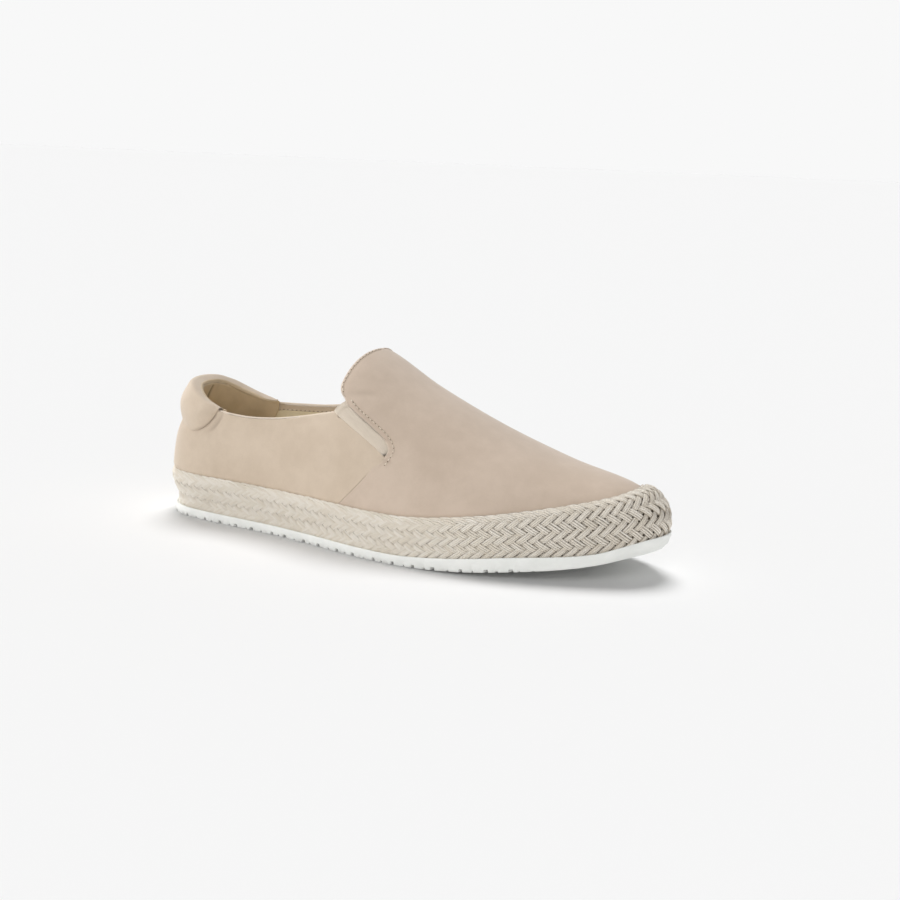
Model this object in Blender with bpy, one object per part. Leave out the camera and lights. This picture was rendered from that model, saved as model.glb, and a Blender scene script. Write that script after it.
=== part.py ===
"""A men's slip-on loafer on an espadrille sole: the right shoe, empty, standing on the floor.

Metres, +Z up, +X towards the toe, -Y the outer (lateral) side, +Y the inner (medial) side.
The origin lies on the floor under the middle of the shoe.

Stations run along the last from the back of its heel (0) to the tip of its toe (LAST_LENGTH). A turn
is an angle round the last's edge: 0 at the heel, a quarter turn on the outer side, pi at the toe.
"""

from collections import namedtuple
from math import pi

import bmesh
import bpy
import numpy as np

# Last
LAST_LENGTH = 0.287
HEEL_RADIUS = 0.032
TOE_RADIUS = 0.019
TOE_SWING = 0.0055          # the toe's tip lies this far to the inner side
TOE_SPRING = 0.0165         # the toe's tip is lifted this far off the floor
SPRING_START = 0.166        # station where the sole leaves the floor
ARCH_RISE = 0.0012          # inner edge of the waist

# Sole
OUTSOLE_HEIGHT = 0.0045
OUTSOLE_LIP = 0.0008        # rim of the outsole, outside the jute
LIP_RISE = 0.0004
TOE_LIP_START = 0.262
TOE_LIP_RISE = 0.0038       # extra height of that rim at the toe
OUTSOLE_DRAFT = 0.0010
GROOVE_PITCH = 0.012
GROOVE_WIDTH = 0.0022
GROOVE_DEPTH = 0.0016
GROOVE_DRAFT = 0.0004
JUTE_FLOOR = 0.0070         # thickness of the jute under the foot
JUTE_WALL = 0.0030          # thickness of the braid round the upper
JUTE_TOP = 0.0245           # height of the braid's top edge from heel to ball
JUTE_TOE_RISE = 0.0022      # the braid grows this much taller towards the toe
INSOLE_THICKNESS = 0.0030

# Upper
LEATHER = 0.0020
TONGUE_STATION = 0.1250     # the section that the tongue's edge lies in
GORE_THICKNESS = 0.0012
GORE_RECESS = 0.0004
PAD = 0.0031                # padding outside and inside the heel's edge
PAD_EDGE = 0.0007
PAD_DEPTH_INSIDE = 0.0160
PAD_STATION = 0.0440        # front ends of the heel's pad
GAP = 0.0003                # clearance between neighbours

# Mesh
QUARTER_COLUMNS = 22
VAMP_COLUMNS = 26
QUARTER_ROWS = 7
TONGUE_ROWS = 8

# Half widths of the last's edge, measured from its centre line
Outline = namedtuple("Outline", "at lateral medial")
OUTLINE = (
    Outline(0.032, 0.0298, 0.0298),
    Outline(0.072, 0.0330, 0.0315),
    Outline(0.107, 0.0382, 0.0315),
    Outline(0.147, 0.0470, 0.0362),
    Outline(0.184, 0.0503, 0.0437),
    Outline(0.217, 0.0470, 0.0440),
    Outline(0.247, 0.0368, 0.0355),
    Outline(0.270, 0.0245, 0.0238),
)

# Sections of the last: where and how high each one's top lies, how far its wall stands up (share of
# its height), how far its shoulder reaches out (share of its half width), how far the wall leans out
# and back, and how far its lowest part is tucked in
Section = namedtuple("Section", "at top_at top_height wall shoulder lean rake tuck")
SECTIONS = (
    Section(0.000, 0.060, 0.0980, 0.50, 0.75, 0.0020, 0.000, 0.0045),
    Section(0.045, 0.080, 0.0995, 0.50, 0.78, 0.0050, 0.000, 0.0022),
    Section(0.090, 0.102, 0.1010, 0.53, 0.82, 0.0050, 0.002, 0.0014),
    Section(0.125, 0.126, 0.1000, 0.56, 0.88, 0.0045, 0.006, 0.0010),
    Section(0.157, 0.157, 0.0838, 0.51, 0.76, 0.0030, 0.002, 0.0010),
    Section(0.197, 0.195, 0.0675, 0.47, 0.68, 0.0015, 0.000, 0.0008),
    Section(0.237, 0.229, 0.0557, 0.44, 0.68, 0.0005, 0.000, 0.0004),
    Section(0.287, 0.259, 0.0485, 0.46, 0.66, 0.0000, 0.000, 0.0000),
)
TUCK_HEIGHT = 0.014

# Height of the upper's edge round the foot, from the heel to the tongue
Edge = namedtuple("Edge", "at height")
TOPLINE = (
    Edge(0.000, 0.0695),
    Edge(0.017, 0.0665),
    Edge(0.032, 0.0625),
    Edge(0.047, 0.0610),
    Edge(0.062, 0.0608),
    Edge(0.080, 0.0623),
    Edge(0.100, 0.0658),
    Edge(0.123, 0.0710),
)

# Lower edge of the heel's pad
PAD_EDGE_LINE = (
    Edge(0.000, 0.0510),
    Edge(0.029, 0.0490),
    Edge(0.036, 0.0525),
    Edge(0.044, 0.0600),
)

# The slot for the elastic, from the throat down to its lower end
Slot = namedtuple("Slot", "back_at back_height front_at front_height")
SLOT = (
    Slot(0.1235, 0.0700, 0.1265, 0.0750),
    Slot(0.1580, 0.0535, 0.1605, 0.0560),
)

Finish = namedtuple("Finish", "colour roughness metallic")
NUBUCK = Finish((0.60, 0.48, 0.37), 0.85, 0.0)
ELASTIC = Finish((0.66, 0.55, 0.44), 0.80, 0.0)
JUTE = Finish((0.74, 0.63, 0.50), 0.90, 0.0)
RUBBER = Finish((0.84, 0.86, 0.84), 0.55, 0.0)
LINING = Finish((0.36, 0.30, 0.19), 0.75, 0.0)


# ---------------------------------------------------------------- the last

def column(rows, name):
    return np.array([getattr(row, name) for row in rows])


def follow(stations, values, at):
    """A smooth curve through the values given at the stations."""
    at = np.clip(at, stations[0], stations[-1])
    step = np.diff(stations)
    rise = np.diff(values) / step
    slope = np.concatenate([rise[:1], (rise[:-1] * step[1:] + rise[1:] * step[:-1]) / (step[:-1] + step[1:]),
                            rise[-1:]])
    i = np.clip(np.searchsorted(stations, at) - 1, 0, len(step) - 1)
    t = (at - stations[i]) / step[i]
    start = values[i] * (2 * t**3 - 3 * t**2 + 1) + step[i] * slope[i] * (t**3 - 2 * t**2 + t)
    end = values[i + 1] * (3 * t**2 - 2 * t**3) + step[i] * slope[i + 1] * (t**3 - t**2)
    return start + end


def table(rows, name, at):
    return follow(column(rows, "at"), column(rows, name), at)


def ease(t):
    t = np.clip(t, 0.0, 1.0)
    return t * t * (3.0 - 2.0 * t)


def station_of(turn):
    return LAST_LENGTH * (1.0 - np.cos(turn)) / 2.0


def turn_of(station, side):
    """The turn of a station on the outer (side -1) or the inner side (side 1)."""
    turn = np.arccos(1.0 - 2.0 * np.asarray(station) / LAST_LENGTH)
    return turn if side < 0 else 2.0 * pi - turn


def centre_line(station):
    return TOE_SWING * ease(2.0 * station / LAST_LENGTH - 1.0)


def toe_spring(station):
    lift = np.clip((station - SPRING_START) / (LAST_LENGTH - SPRING_START), 0.0, None)
    return TOE_SPRING * lift**1.4


def half_width(station, side):
    """Half width of the last's edge; the widths are carried as multiples of an ellipse's."""
    share = station / LAST_LENGTH
    known = column(OUTLINE, "at") / LAST_LENGTH
    fullness = column(OUTLINE, side) / np.sqrt(known * (1.0 - known))
    heel = np.sqrt(2.0 * HEEL_RADIUS * LAST_LENGTH)
    toe = np.sqrt(2.0 * TOE_RADIUS * LAST_LENGTH)
    knots = np.concatenate([[0.0], known, [1.0]])
    full = follow(knots, np.concatenate([[heel], fullness, [toe]]), share)
    return full * np.sqrt(np.clip(share * (1.0 - share), 0.0, None))


def edge_point(turn):
    """The last's edge, in plan, at height 0."""
    turn = np.asarray(turn, dtype=float)
    station = station_of(turn)
    outer = centre_line(station) - half_width(station, "lateral")
    inner = centre_line(station) + half_width(station, "medial")
    across = np.where(np.sin(turn) >= 0.0, outer, inner)
    return np.stack([station, across, np.zeros_like(station)], axis=-1)


def edge_normal(turn):
    """Outward direction of the last's edge, in plan."""
    turn = np.asarray(turn, dtype=float)
    along = edge_point(turn + 0.01) - edge_point(turn - 0.01)
    normal = np.stack([along[..., 1], -along[..., 0], along[..., 2]], axis=-1)
    return normal / np.linalg.norm(normal, axis=-1, keepdims=True)


FEATHER = OUTSOLE_HEIGHT + JUTE_FLOOR + 2 * GAP     # height of the upper's lower edge


def last_point(turn, climb):
    """The outer face of the upper: climb 0 at its lower edge, 1 at the middle of the instep."""
    turn = np.asarray(turn, dtype=float)
    climb = np.asarray(climb, dtype=float)[..., None]
    up = np.array([0.0, 0.0, 1.0])
    station = station_of(turn)
    foot = edge_point(turn) + up * (FEATHER + toe_spring(station))[..., None]
    top_at = table(SECTIONS, "top_at", station)
    top_height = table(SECTIONS, "top_height", station)
    top = np.stack([top_at, centre_line(top_at), top_height], axis=-1)
    reach = (foot - top) * np.array([1.0, 1.0, 0.0])
    outward = reach / np.linalg.norm(reach, axis=-1, keepdims=True)
    height = (top - foot)[..., 2:]
    nearby = 0.002
    top_run = table(SECTIONS, "top_at", station + nearby) - table(SECTIONS, "top_at", station - nearby)
    top_rise = table(SECTIONS, "top_height", station + nearby) - table(SECTIONS, "top_height", station - nearby)
    slope = (top_rise / top_run)[..., None]
    wall = table(SECTIONS, "wall", station)[..., None]
    shoulder = table(SECTIONS, "shoulder", station)[..., None]
    lean = table(SECTIONS, "lean", station)[..., None]
    back = np.array([-1.0, 0.0, 0.0]) * table(SECTIONS, "rake", station)[..., None]
    low = foot + up * height * wall + outward * lean + back
    high = top + reach * shoulder + up * slope * reach[..., :1] * shoulder
    rest = 1.0 - climb
    point = rest**3 * foot + 3 * rest**2 * climb * low + 3 * rest * climb**2 * high + climb**3 * top
    lowness = np.clip(1.0 - (point - foot)[..., 2:] / TUCK_HEIGHT, 0.0, 1.0)
    return point - outward * table(SECTIONS, "tuck", station)[..., None] * lowness**2


def last_normal(turn, climb):
    climb = np.clip(climb, 0.002, 0.998)
    along = last_point(turn + 0.004, climb) - last_point(turn - 0.004, climb)
    up = last_point(turn, climb + 0.002) - last_point(turn, climb - 0.002)
    normal = np.cross(along, up)
    return normal / np.linalg.norm(normal, axis=-1, keepdims=True)


def off_last(turn, climb, offset):
    """A point at a distance outside (or, if negative, inside) the upper's outer face."""
    turn, climb = np.broadcast_arrays(np.asarray(turn, dtype=float), np.asarray(climb, dtype=float))
    return last_point(turn, climb) + last_normal(turn, climb) * np.asarray(offset)[..., None]


def climb_to(turn, height):
    """How far up its section the last reaches a height."""
    samples = np.linspace(0.0, 1.0, 201)
    turns = np.atleast_1d(turn)
    heights = np.broadcast_to(height, turns.shape)
    found = []
    for one_turn, one_height in zip(turns, heights):
        levels = last_point(np.full(samples.shape, one_turn), samples)[:, 2]
        found.append(np.interp(one_height, levels, samples))
    return np.array(found)


def last_turns():
    """The turns of the mesh's columns, with one on each side exactly at the tongue's edge."""
    tongue = float(turn_of(TONGUE_STATION, -1))
    quarter = np.linspace(0.0, tongue, QUARTER_COLUMNS + 1)
    vamp = np.linspace(tongue, pi, VAMP_COLUMNS + 1)[1:]
    outer = np.concatenate([quarter, vamp])
    return np.concatenate([outer, 2.0 * pi - outer[-2:0:-1]])


# ---------------------------------------------------------------- meshes

def material(name, finish):
    made = bpy.data.materials.new(name)
    made.use_nodes = True
    shader = made.node_tree.nodes["Principled BSDF"]
    shader.inputs["Base Color"].default_value = (*finish.colour, 1.0)
    shader.inputs["Roughness"].default_value = finish.roughness
    shader.inputs["Metallic"].default_value = finish.metallic
    made.diffuse_color = (*finish.colour, 1.0)
    return made


def mesh_object(name, points, faces, finish, parent):
    mesh = bpy.data.meshes.new(name)
    mesh.from_pydata([tuple(map(float, point)) for point in points], [], faces)
    work = bmesh.new()
    work.from_mesh(mesh)
    bmesh.ops.recalc_face_normals(work, faces=work.faces)
    work.to_mesh(mesh)
    work.free()
    mesh.shade_smooth()
    mesh.set_sharp_from_angle(angle=0.7)
    mesh.materials.append(material(name, finish))
    made = bpy.data.objects.new(name, mesh)
    bpy.context.collection.objects.link(made)
    made.parent = parent
    return made


def bridged(rings, closed_path, closed_ring=True):
    """Faces between successive rings of the same number of points."""
    count = len(rings)
    size = len(rings[0])
    faces = []
    for i in range(count if closed_path else count - 1):
        for j in range(size if closed_ring else size - 1):
            a, b = i * size + j, i * size + (j + 1) % size
            c, d = (i + 1) % count * size + (j + 1) % size, (i + 1) % count * size + j
            faces.append((a, b, c, d))
    return faces


def across_faces(count, size, row):
    """Strips from the outer to the inner side, joining one row of the columns round an edge."""
    faces = []
    for i in range(count // 2):
        corners = [i, i + 1, (count - i - 1) % count, (count - i) % count]
        strip = list(dict.fromkeys(corner * size + row for corner in corners))
        faces.append(tuple(strip))
    return faces


def slab(name, rings, finish, parent):
    """A solid whose columns run from its underside's edge up to its top side's edge."""
    count, size = len(rings), len(rings[0])
    faces = bridged(rings, closed_path=True, closed_ring=False)
    faces += across_faces(count, size, 0) + across_faces(count, size, size - 1)
    return mesh_object(name, np.concatenate(rings), faces, finish, parent)


def swept(name, rings, finish, parent):
    """A solid whose closed rings follow an open path."""
    size = len(rings[0])
    last_ring = (len(rings) - 1) * size
    faces = bridged(rings, closed_path=False)
    faces += [tuple(range(size)), tuple(last_ring + j for j in range(size))]
    return mesh_object(name, np.concatenate(rings), faces, finish, parent)


# ---------------------------------------------------------------- pieces

def sole_edge(turn, outset, height):
    """A point outside the last's edge, at a height above the lifted sole's underside."""
    lift = toe_spring(station_of(turn)) + height
    outset = outset - table(SECTIONS, "tuck", station_of(turn))
    return edge_point(turn) + edge_normal(turn) * outset + np.array([0.0, 0.0, 1.0]) * lift


def jute_top(station):
    toeward = (station - SPRING_START) / (LAST_LENGTH - SPRING_START)
    return JUTE_TOP + toe_spring(station) + JUTE_TOE_RISE * ease(toeward)


def groove_stations():
    """Each groove's four edges as (station, depth)."""
    cuts = []
    middle = GROOVE_PITCH
    while middle < LAST_LENGTH - GROOVE_PITCH:
        half = GROOVE_WIDTH / 2
        cuts.append((middle - half - GROOVE_DRAFT, 0.0))
        cuts.append((middle - half, GROOVE_DEPTH))
        cuts.append((middle + half, GROOVE_DEPTH))
        cuts.append((middle + half + GROOVE_DRAFT, 0.0))
        middle += GROOVE_PITCH
    return cuts


def outsole_columns():
    """Stations of the outsole's columns with the depth of the tread there, heel to toe."""
    cuts = groove_stations()
    columns = list(cuts)
    for turn in last_turns()[:QUARTER_COLUMNS + VAMP_COLUMNS + 1]:
        station = float(station_of(turn))
        near = min(abs(station - cut) for cut, _ in cuts)
        inside = any(a[0] < station < b[0] for a, b in zip(cuts[0::4], cuts[3::4]))
        if near > 0.0008 and not inside:
            columns.append((station, 0.0))
    return sorted(columns)


def build_outsole(parent):
    outset = GAP + JUTE_WALL
    outer = outsole_columns()
    turns = [(float(turn_of(station, -1)), depth) for station, depth in outer]
    turns += [(2.0 * pi - turn, depth) for turn, depth in turns[-2:0:-1]]
    rings = []
    for turn, depth in turns:
        station = float(station_of(turn))
        arch = ARCH_RISE * np.sin(pi * np.clip((station - 0.06) / 0.09, 0.0, 1.0))**2 if turn > pi else 0.0
        toe = float(ease((station - TOE_LIP_START) / (LAST_LENGTH - TOE_LIP_START)))
        lip = OUTSOLE_HEIGHT + LIP_RISE + TOE_LIP_RISE * toe
        rim = outset + GAP + OUTSOLE_LIP * (1.0 + toe)
        rings.append(np.array([
            sole_edge(turn, rim - OUTSOLE_DRAFT, depth + arch),
            sole_edge(turn, rim, lip - 0.0004),
            sole_edge(turn, rim - 0.0004, lip),
            sole_edge(turn, outset + GAP, lip),
            sole_edge(turn, outset + GAP, OUTSOLE_HEIGHT),
        ]))
    return slab("outsole", rings, RUBBER, parent)


def build_jute_midsole(parent):
    """Floor of flat braid under the foot, its rim standing up round the upper."""
    bottom = OUTSOLE_HEIGHT + GAP
    floor = bottom + JUTE_FLOOR
    rings = []
    for turn in last_turns():
        station = float(station_of(turn))
        lift = float(toe_spring(station))
        outset = GAP + JUTE_WALL
        levels = np.linspace(FEATHER + lift, float(jute_top(station)), 7)
        climbs = climb_to(np.full(levels.shape, turn), levels)
        inner = off_last(np.full(climbs.shape, turn), climbs, np.full(climbs.shape, GAP))
        outer_climbs = climbs[1::2]
        outer = off_last(np.full(outer_climbs.shape, turn), outer_climbs,
                         np.full(outer_climbs.shape, outset))
        top = off_last(turn, climbs[-1], outset - 0.0009)
        top = top + (inner[-1] - inner[-2]) / np.linalg.norm(inner[-1] - inner[-2]) * 0.0009
        rings.append(np.concatenate([
            [sole_edge(turn, outset - 0.0008, bottom), sole_edge(turn, outset, bottom + 0.0010)],
            outer, [top], inner[::-1],
            [sole_edge(turn, GAP, floor)],
        ]))
    return slab("jute_midsole", rings, JUTE, parent)


def build_insole(parent):
    low = FEATHER
    inset = LEATHER + GAP
    rings = []
    for turn in last_turns():
        rings.append(np.array([
            sole_edge(turn, -inset - 0.0006, low),
            sole_edge(turn, -inset, low + 0.0008),
            sole_edge(turn, -inset - 0.0002, low + INSOLE_THICKNESS - 0.0008),
            sole_edge(turn, -inset - 0.0010, low + INSOLE_THICKNESS),
        ]))
    return slab("insole", rings, LINING, parent)


def slot_edges(share):
    """Both edges of the elastic's slot as (station, height), at a share of its length."""
    start, end = SLOT
    back = (start.back_at + (end.back_at - start.back_at) * share,
            start.back_height + (end.back_height - start.back_height) * share)
    front = (start.front_at + (end.front_at - start.front_at) * share,
             start.front_height + (end.front_height - start.front_height) * share)
    return np.array(back), np.array(front)


def slot_point(side, share, across, offset):
    back, front = slot_edges(share)
    station, height = back + (front - back) * across
    turn = float(turn_of(station, side))
    return off_last(turn, climb_to(turn, height)[0], offset)


def slot_ring(side, share, margin, outer, inner):
    """Section through the slot's strip, drawn in from its edges by a margin."""
    back, front = slot_edges(share)
    inset = margin / np.linalg.norm(front - back)
    near, far = inset, 1.0 - inset
    corners = ((near, outer), (far, outer), (far, inner), (near, inner))
    return np.array([slot_point(side, share, across, offset) for across, offset in corners])


def build_upper(parent):
    """Vamp with tongue and quarters: one skin, thickened inwards, with a slot cut on each side."""
    turns = last_turns()
    count = len(turns)
    tongue = QUARTER_COLUMNS
    corner_climb = climb_to(turns[tongue], TOPLINE[-1].height)[0]
    lower = np.linspace(0.0, 1.0, QUARTER_ROWS + 1)
    points, index = [], {}
    for i, turn in enumerate(turns):
        mirrored = min(i, count - i)
        if mirrored < tongue:
            edge = climb_to(turn, table(TOPLINE, "height", station_of(turn)))[0]
            climbs = lower * edge
        else:
            side_climb = corner_climb
            climbs = np.concatenate([lower * side_climb, np.linspace(side_climb, 1.0, TONGUE_ROWS + 1)[1:]])
        for j, climb in enumerate(climbs):
            crest = j == QUARTER_ROWS + TONGUE_ROWS
            if crest and i > count // 2:
                index[i, j] = index[count - i, j]
                continue
            index[i, j] = len(points)
            points.append(last_point(turn, climb))
    faces = []
    for i in range(count):
        k = (i + 1) % count
        for j in range(QUARTER_ROWS + TONGUE_ROWS):
            corners = [(i, j), (k, j), (k, j + 1), (i, j + 1)]
            if all(corner in index for corner in corners):
                faces.append(tuple(dict.fromkeys(index[corner] for corner in corners)))
    upper = mesh_object("upper", points, faces, NUBUCK, parent)
    skin = upper.modifiers.new("leather", "SOLIDIFY")
    skin.thickness = LEATHER
    skin.offset = -1.0
    skin.use_even_offset = True
    for side, label in ((-1, "lateral"), (1, "medial")):
        shares = np.linspace(-0.25, 1.0, 8)
        rings = [slot_ring(side, share, 0.0, 0.006, -0.008) for share in shares]
        cutter = swept("slot_cutter_" + label, rings, ELASTIC, parent)
        cutter.hide_render = True
        cutter.display_type = "WIRE"
        cut = upper.modifiers.new("slot_" + label, "BOOLEAN")
        cut.operation = "DIFFERENCE"
        cut.solver = "EXACT"
        cut.object = cutter
    return upper


def build_gore(side, label, parent):
    shares = np.linspace(0.02, 0.985, 8)
    rings = [slot_ring(side, share, GAP, -GORE_RECESS, -GORE_RECESS - GORE_THICKNESS) for share in shares]
    return swept("gore_" + label, rings, ELASTIC, parent)


def pad_ring(turn):
    """Section through the heel's pad: up the outside, over the leather's edge and down the inside."""
    station = float(station_of(turn))
    edge = float(climb_to(turn, table(TOPLINE, "height", station))[0])
    low = float(climb_to(turn, min(table(PAD_EDGE_LINE, "height", station),
                                   table(TOPLINE, "height", station) - 0.0012))[0])
    deep = float(climb_to(turn, table(TOPLINE, "height", station) - PAD_DEPTH_INSIDE)[0])
    full = 1.0 - ease((station - 0.6 * PAD_STATION) / (0.4 * PAD_STATION)) * 0.6
    inner_face = -LEATHER - GAP
    rim = off_last(turn, edge, -LEATHER / 2)
    normal = last_normal(np.array(turn), np.array(edge))
    up = last_point(turn, edge) - last_point(turn, edge - 0.01)
    up = up / np.linalg.norm(up)
    radius = LEATHER / 2 + GAP + PAD * full
    ring = []
    for share in (0.0, 0.15, 0.4, 0.7):
        swell = PAD_EDGE + (PAD * full - PAD_EDGE) * np.sin(share * pi / 2)
        ring.append(off_last(turn, low + (edge - low) * share, GAP + swell))
    for angle in np.linspace(0.0, pi, 7):
        ring.append(rim + radius * (np.cos(angle) * normal + np.sin(angle) * up))
    for share in (0.4, 0.8, 1.0):
        swell = PAD_EDGE + (PAD * full - PAD_EDGE) * np.cos(share * pi / 2)
        ring.append(off_last(turn, edge + (deep - edge) * share, inner_face - swell))
    ring.append(off_last(turn, deep, inner_face))
    ring.append(off_last(turn, (deep + edge) / 2, inner_face))
    ring.append(off_last(turn, edge, inner_face) + up * GAP)
    ring.append(off_last(turn, edge, GAP) + up * GAP)
    ring.append(off_last(turn, (low + edge) / 2, GAP))
    ring.append(off_last(turn, low, GAP))
    return np.array(ring)


def build_heel_collar(parent):
    end = float(turn_of(PAD_STATION, -1))
    turns = np.linspace(end, -end, 27)
    return swept("heel_collar", [pad_ring(turn) for turn in turns], NUBUCK, parent)


def place_on_floor(frame):
    """Move the shoe so that the origin lies on the floor under the middle of its box."""
    bpy.context.view_layer.update()
    corners = []
    depsgraph = bpy.context.evaluated_depsgraph_get()
    for shoe_part in frame.children:
        if not shoe_part.hide_render:
            mesh = shoe_part.evaluated_get(depsgraph).to_mesh()
            corners += [tuple(vertex.co) for vertex in mesh.vertices]
    corners = np.array(corners)
    middle = (corners.min(axis=0) + corners.max(axis=0)) / 2
    frame.location = (-middle[0], -middle[1], -corners[:, 2].min())


def main():
    for old in list(bpy.data.objects):
        bpy.data.objects.remove(old, do_unlink=True)
    frame = bpy.data.objects.new("shoe", None)
    bpy.context.collection.objects.link(frame)
    build_outsole(frame)
    build_jute_midsole(frame)
    build_insole(frame)
    build_upper(frame)
    build_gore(-1, "lateral", frame)
    build_gore(1, "medial", frame)
    build_heel_collar(frame)
    place_on_floor(frame)


main()
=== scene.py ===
"""A men's slip-on loafer on an espadrille sole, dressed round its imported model: the right shoe, empty.

Metres, +Z up, +X towards the toe, -Y the outer side. Shapes are worked out on the last, where a
station runs from the back of the heel (0) to the tip of the toe and a turn is an angle round the
last's edge: 0 at the heel, a quarter turn on the outer side, pi at the toe.
"""

from collections import namedtuple
from math import pi, radians

import bmesh
import bpy
import numpy as np
from mathutils import Matrix, Vector


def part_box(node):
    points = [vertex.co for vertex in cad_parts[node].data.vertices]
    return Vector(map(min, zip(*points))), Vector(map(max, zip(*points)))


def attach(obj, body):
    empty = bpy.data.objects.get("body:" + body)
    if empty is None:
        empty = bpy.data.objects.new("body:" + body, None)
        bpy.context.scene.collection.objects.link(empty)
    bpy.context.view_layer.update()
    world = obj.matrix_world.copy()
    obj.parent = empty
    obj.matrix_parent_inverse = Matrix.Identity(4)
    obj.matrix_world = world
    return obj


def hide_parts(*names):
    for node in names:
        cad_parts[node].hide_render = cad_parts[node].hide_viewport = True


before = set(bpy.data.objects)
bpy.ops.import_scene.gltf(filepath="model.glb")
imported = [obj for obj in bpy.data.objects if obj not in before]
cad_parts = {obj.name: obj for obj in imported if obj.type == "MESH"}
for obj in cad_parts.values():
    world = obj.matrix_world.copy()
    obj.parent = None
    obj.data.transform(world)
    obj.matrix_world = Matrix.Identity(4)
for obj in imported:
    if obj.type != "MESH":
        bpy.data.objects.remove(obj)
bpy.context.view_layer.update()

# ---------------------------------------------------------------- outsole
# One moulding of white rubber, cemented under the jute. Its tread is cut across in waves, and its
# rim stands a little way up round the jute, higher at the tip of the toe.

LAST_LENGTH = 0.287
HEEL_RADIUS = 0.032             # of the last's edge, in plan
TOE_RADIUS = 0.019
TOE_SWING = 0.0055              # the toe's tip lies this far to the inner side
SPRING_START = 0.166            # in front of here the last is lifted off the floor
TOE_SPRING = 0.0165             # by this much at the tip of the toe
SPRING_CURL = 1.4               # and this sharply in between
TREAD_CURL = 2.1                # the tread leaves the floor later than the last does
TREAD_TUCK = 0.0030             # its edge is drawn in at the toe
RIM_SAG = 0.0022                # and the rubber's rim runs this much lower there
RIM_SAG_START = 0.45            # share of the lifted length where the rim begins to run lower
RIM_SAG_RUN = 0.35
GAP = 0.0003                    # clearance between neighbours
BRAID_THICKNESS = 0.0030
OUTSOLE_HEIGHT = 0.0045         # from the floor to the jute
RIM_WIDTH = 0.0008              # the rim stands this far outside the jute
RIM_RISE = 0.0004               # and this far up round it
TOE_RIM_START = 0.262           # from here to the toe it grows taller
TOE_RIM_RISE = 0.0038           # by this much
SIDE_DRAFT = 0.0003             # the tread's edge lies this far inside the rim
TOE_TUCK = 0.0006               # the rim draws in under the jute at the tip of the toe
ARCH_RISE = 0.0012              # the inner edge of the waist stands this far off the floor
ARCH_START = 0.06
ARCH_LENGTH = 0.09
TREAD_PITCH = 0.012             # from one main groove to the next
TREAD_WAVE = 0.0016             # how far the grooves wave along the shoe
TREAD_FADE = (0.224, 0.244)     # the grooves stop short of the rim in front of here
TREAD_WANDER = 0.0016           # the grooves are cut a little off their even places
SOLID_RIM = 0.16                # share of the half width that stays solid where they stop short
ACROSS = 33                     # points across the tread

Groove = namedtuple("Groove", "width depth draft")
MAIN_GROOVE = Groove(0.0016, 0.0015, 0.0003)
FINE_GROOVE = Groove(0.0009, 0.0008, 0.0002)

Outline = namedtuple("Outline", "at lateral medial")
OUTLINE = (
    Outline(0.032, 0.0298, 0.0298),
    Outline(0.072, 0.0330, 0.0315),
    Outline(0.107, 0.0382, 0.0315),
    Outline(0.147, 0.0470, 0.0362),
    Outline(0.184, 0.0503, 0.0437),
    Outline(0.217, 0.0470, 0.0440),
    Outline(0.247, 0.0368, 0.0355),
    Outline(0.270, 0.0245, 0.0238),
)

Section = namedtuple("Section", "at top_at top_height wall shoulder lean rake tuck")
SECTIONS = (
    Section(0.000, 0.060, 0.0980, 0.50, 0.75, 0.0020, 0.000, 0.0045),
    Section(0.045, 0.080, 0.0995, 0.50, 0.78, 0.0050, 0.000, 0.0022),
    Section(0.090, 0.102, 0.1010, 0.53, 0.82, 0.0050, 0.002, 0.0014),
    Section(0.125, 0.126, 0.1005, 0.56, 0.88, 0.0045, 0.006, 0.0010),
    Section(0.157, 0.157, 0.0843, 0.51, 0.76, 0.0030, 0.002, 0.0010),
    Section(0.197, 0.195, 0.0670, 0.47, 0.68, 0.0015, 0.000, 0.0008),
    Section(0.237, 0.229, 0.0550, 0.44, 0.68, 0.0005, 0.000, 0.0004),
    Section(0.287, 0.259, 0.0485, 0.46, 0.66, 0.0000, 0.000, 0.0000),
)
UP = np.array([0.0, 0.0, 1.0])


def column(rows, name):
    return np.array([getattr(row, name) for row in rows])


def follow(knots, values, at):
    """A smooth curve through the values given at the knots."""
    at = np.clip(at, knots[0], knots[-1])
    step = np.diff(knots)
    rise = np.diff(values) / step
    middle = (rise[:-1] * step[1:] + rise[1:] * step[:-1]) / (step[:-1] + step[1:])
    slope = np.concatenate([rise[:1], middle, rise[-1:]])
    i = np.clip(np.searchsorted(knots, at) - 1, 0, len(step) - 1)
    t = (at - knots[i]) / step[i]
    start = values[i] * (2 * t**3 - 3 * t**2 + 1) + step[i] * slope[i] * (t**3 - 2 * t**2 + t)
    end = values[i + 1] * (3 * t**2 - 2 * t**3) + step[i] * slope[i + 1] * (t**3 - t**2)
    return start + end


def table(rows, name, at):
    return follow(column(rows, "at"), column(rows, name), at)


def ease(t):
    t = np.clip(t, 0.0, 1.0)
    return t * t * (3.0 - 2.0 * t)


def unit(vectors):
    return vectors / np.maximum(np.linalg.norm(vectors, axis=-1, keepdims=True), 1e-12)


def station_of(turn):
    return LAST_LENGTH * (1.0 - np.cos(turn)) / 2.0


def turn_of(station):
    """The turn of a station on the outer side; its negative is on the inner side."""
    return np.arccos(np.clip(1.0 - 2.0 * np.asarray(station, dtype=float) / LAST_LENGTH, -1.0, 1.0))


def centre_line(station):
    return TOE_SWING * ease(2.0 * station / LAST_LENGTH - 1.0)


def lift_share(station):
    """How far a station lies from the start of the lifted length (0) to the tip of the toe (1)."""
    return np.clip((station - SPRING_START) / (LAST_LENGTH - SPRING_START), 0.0, None)


def toe_spring(station):
    return TOE_SPRING * lift_share(station)**SPRING_CURL


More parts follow.
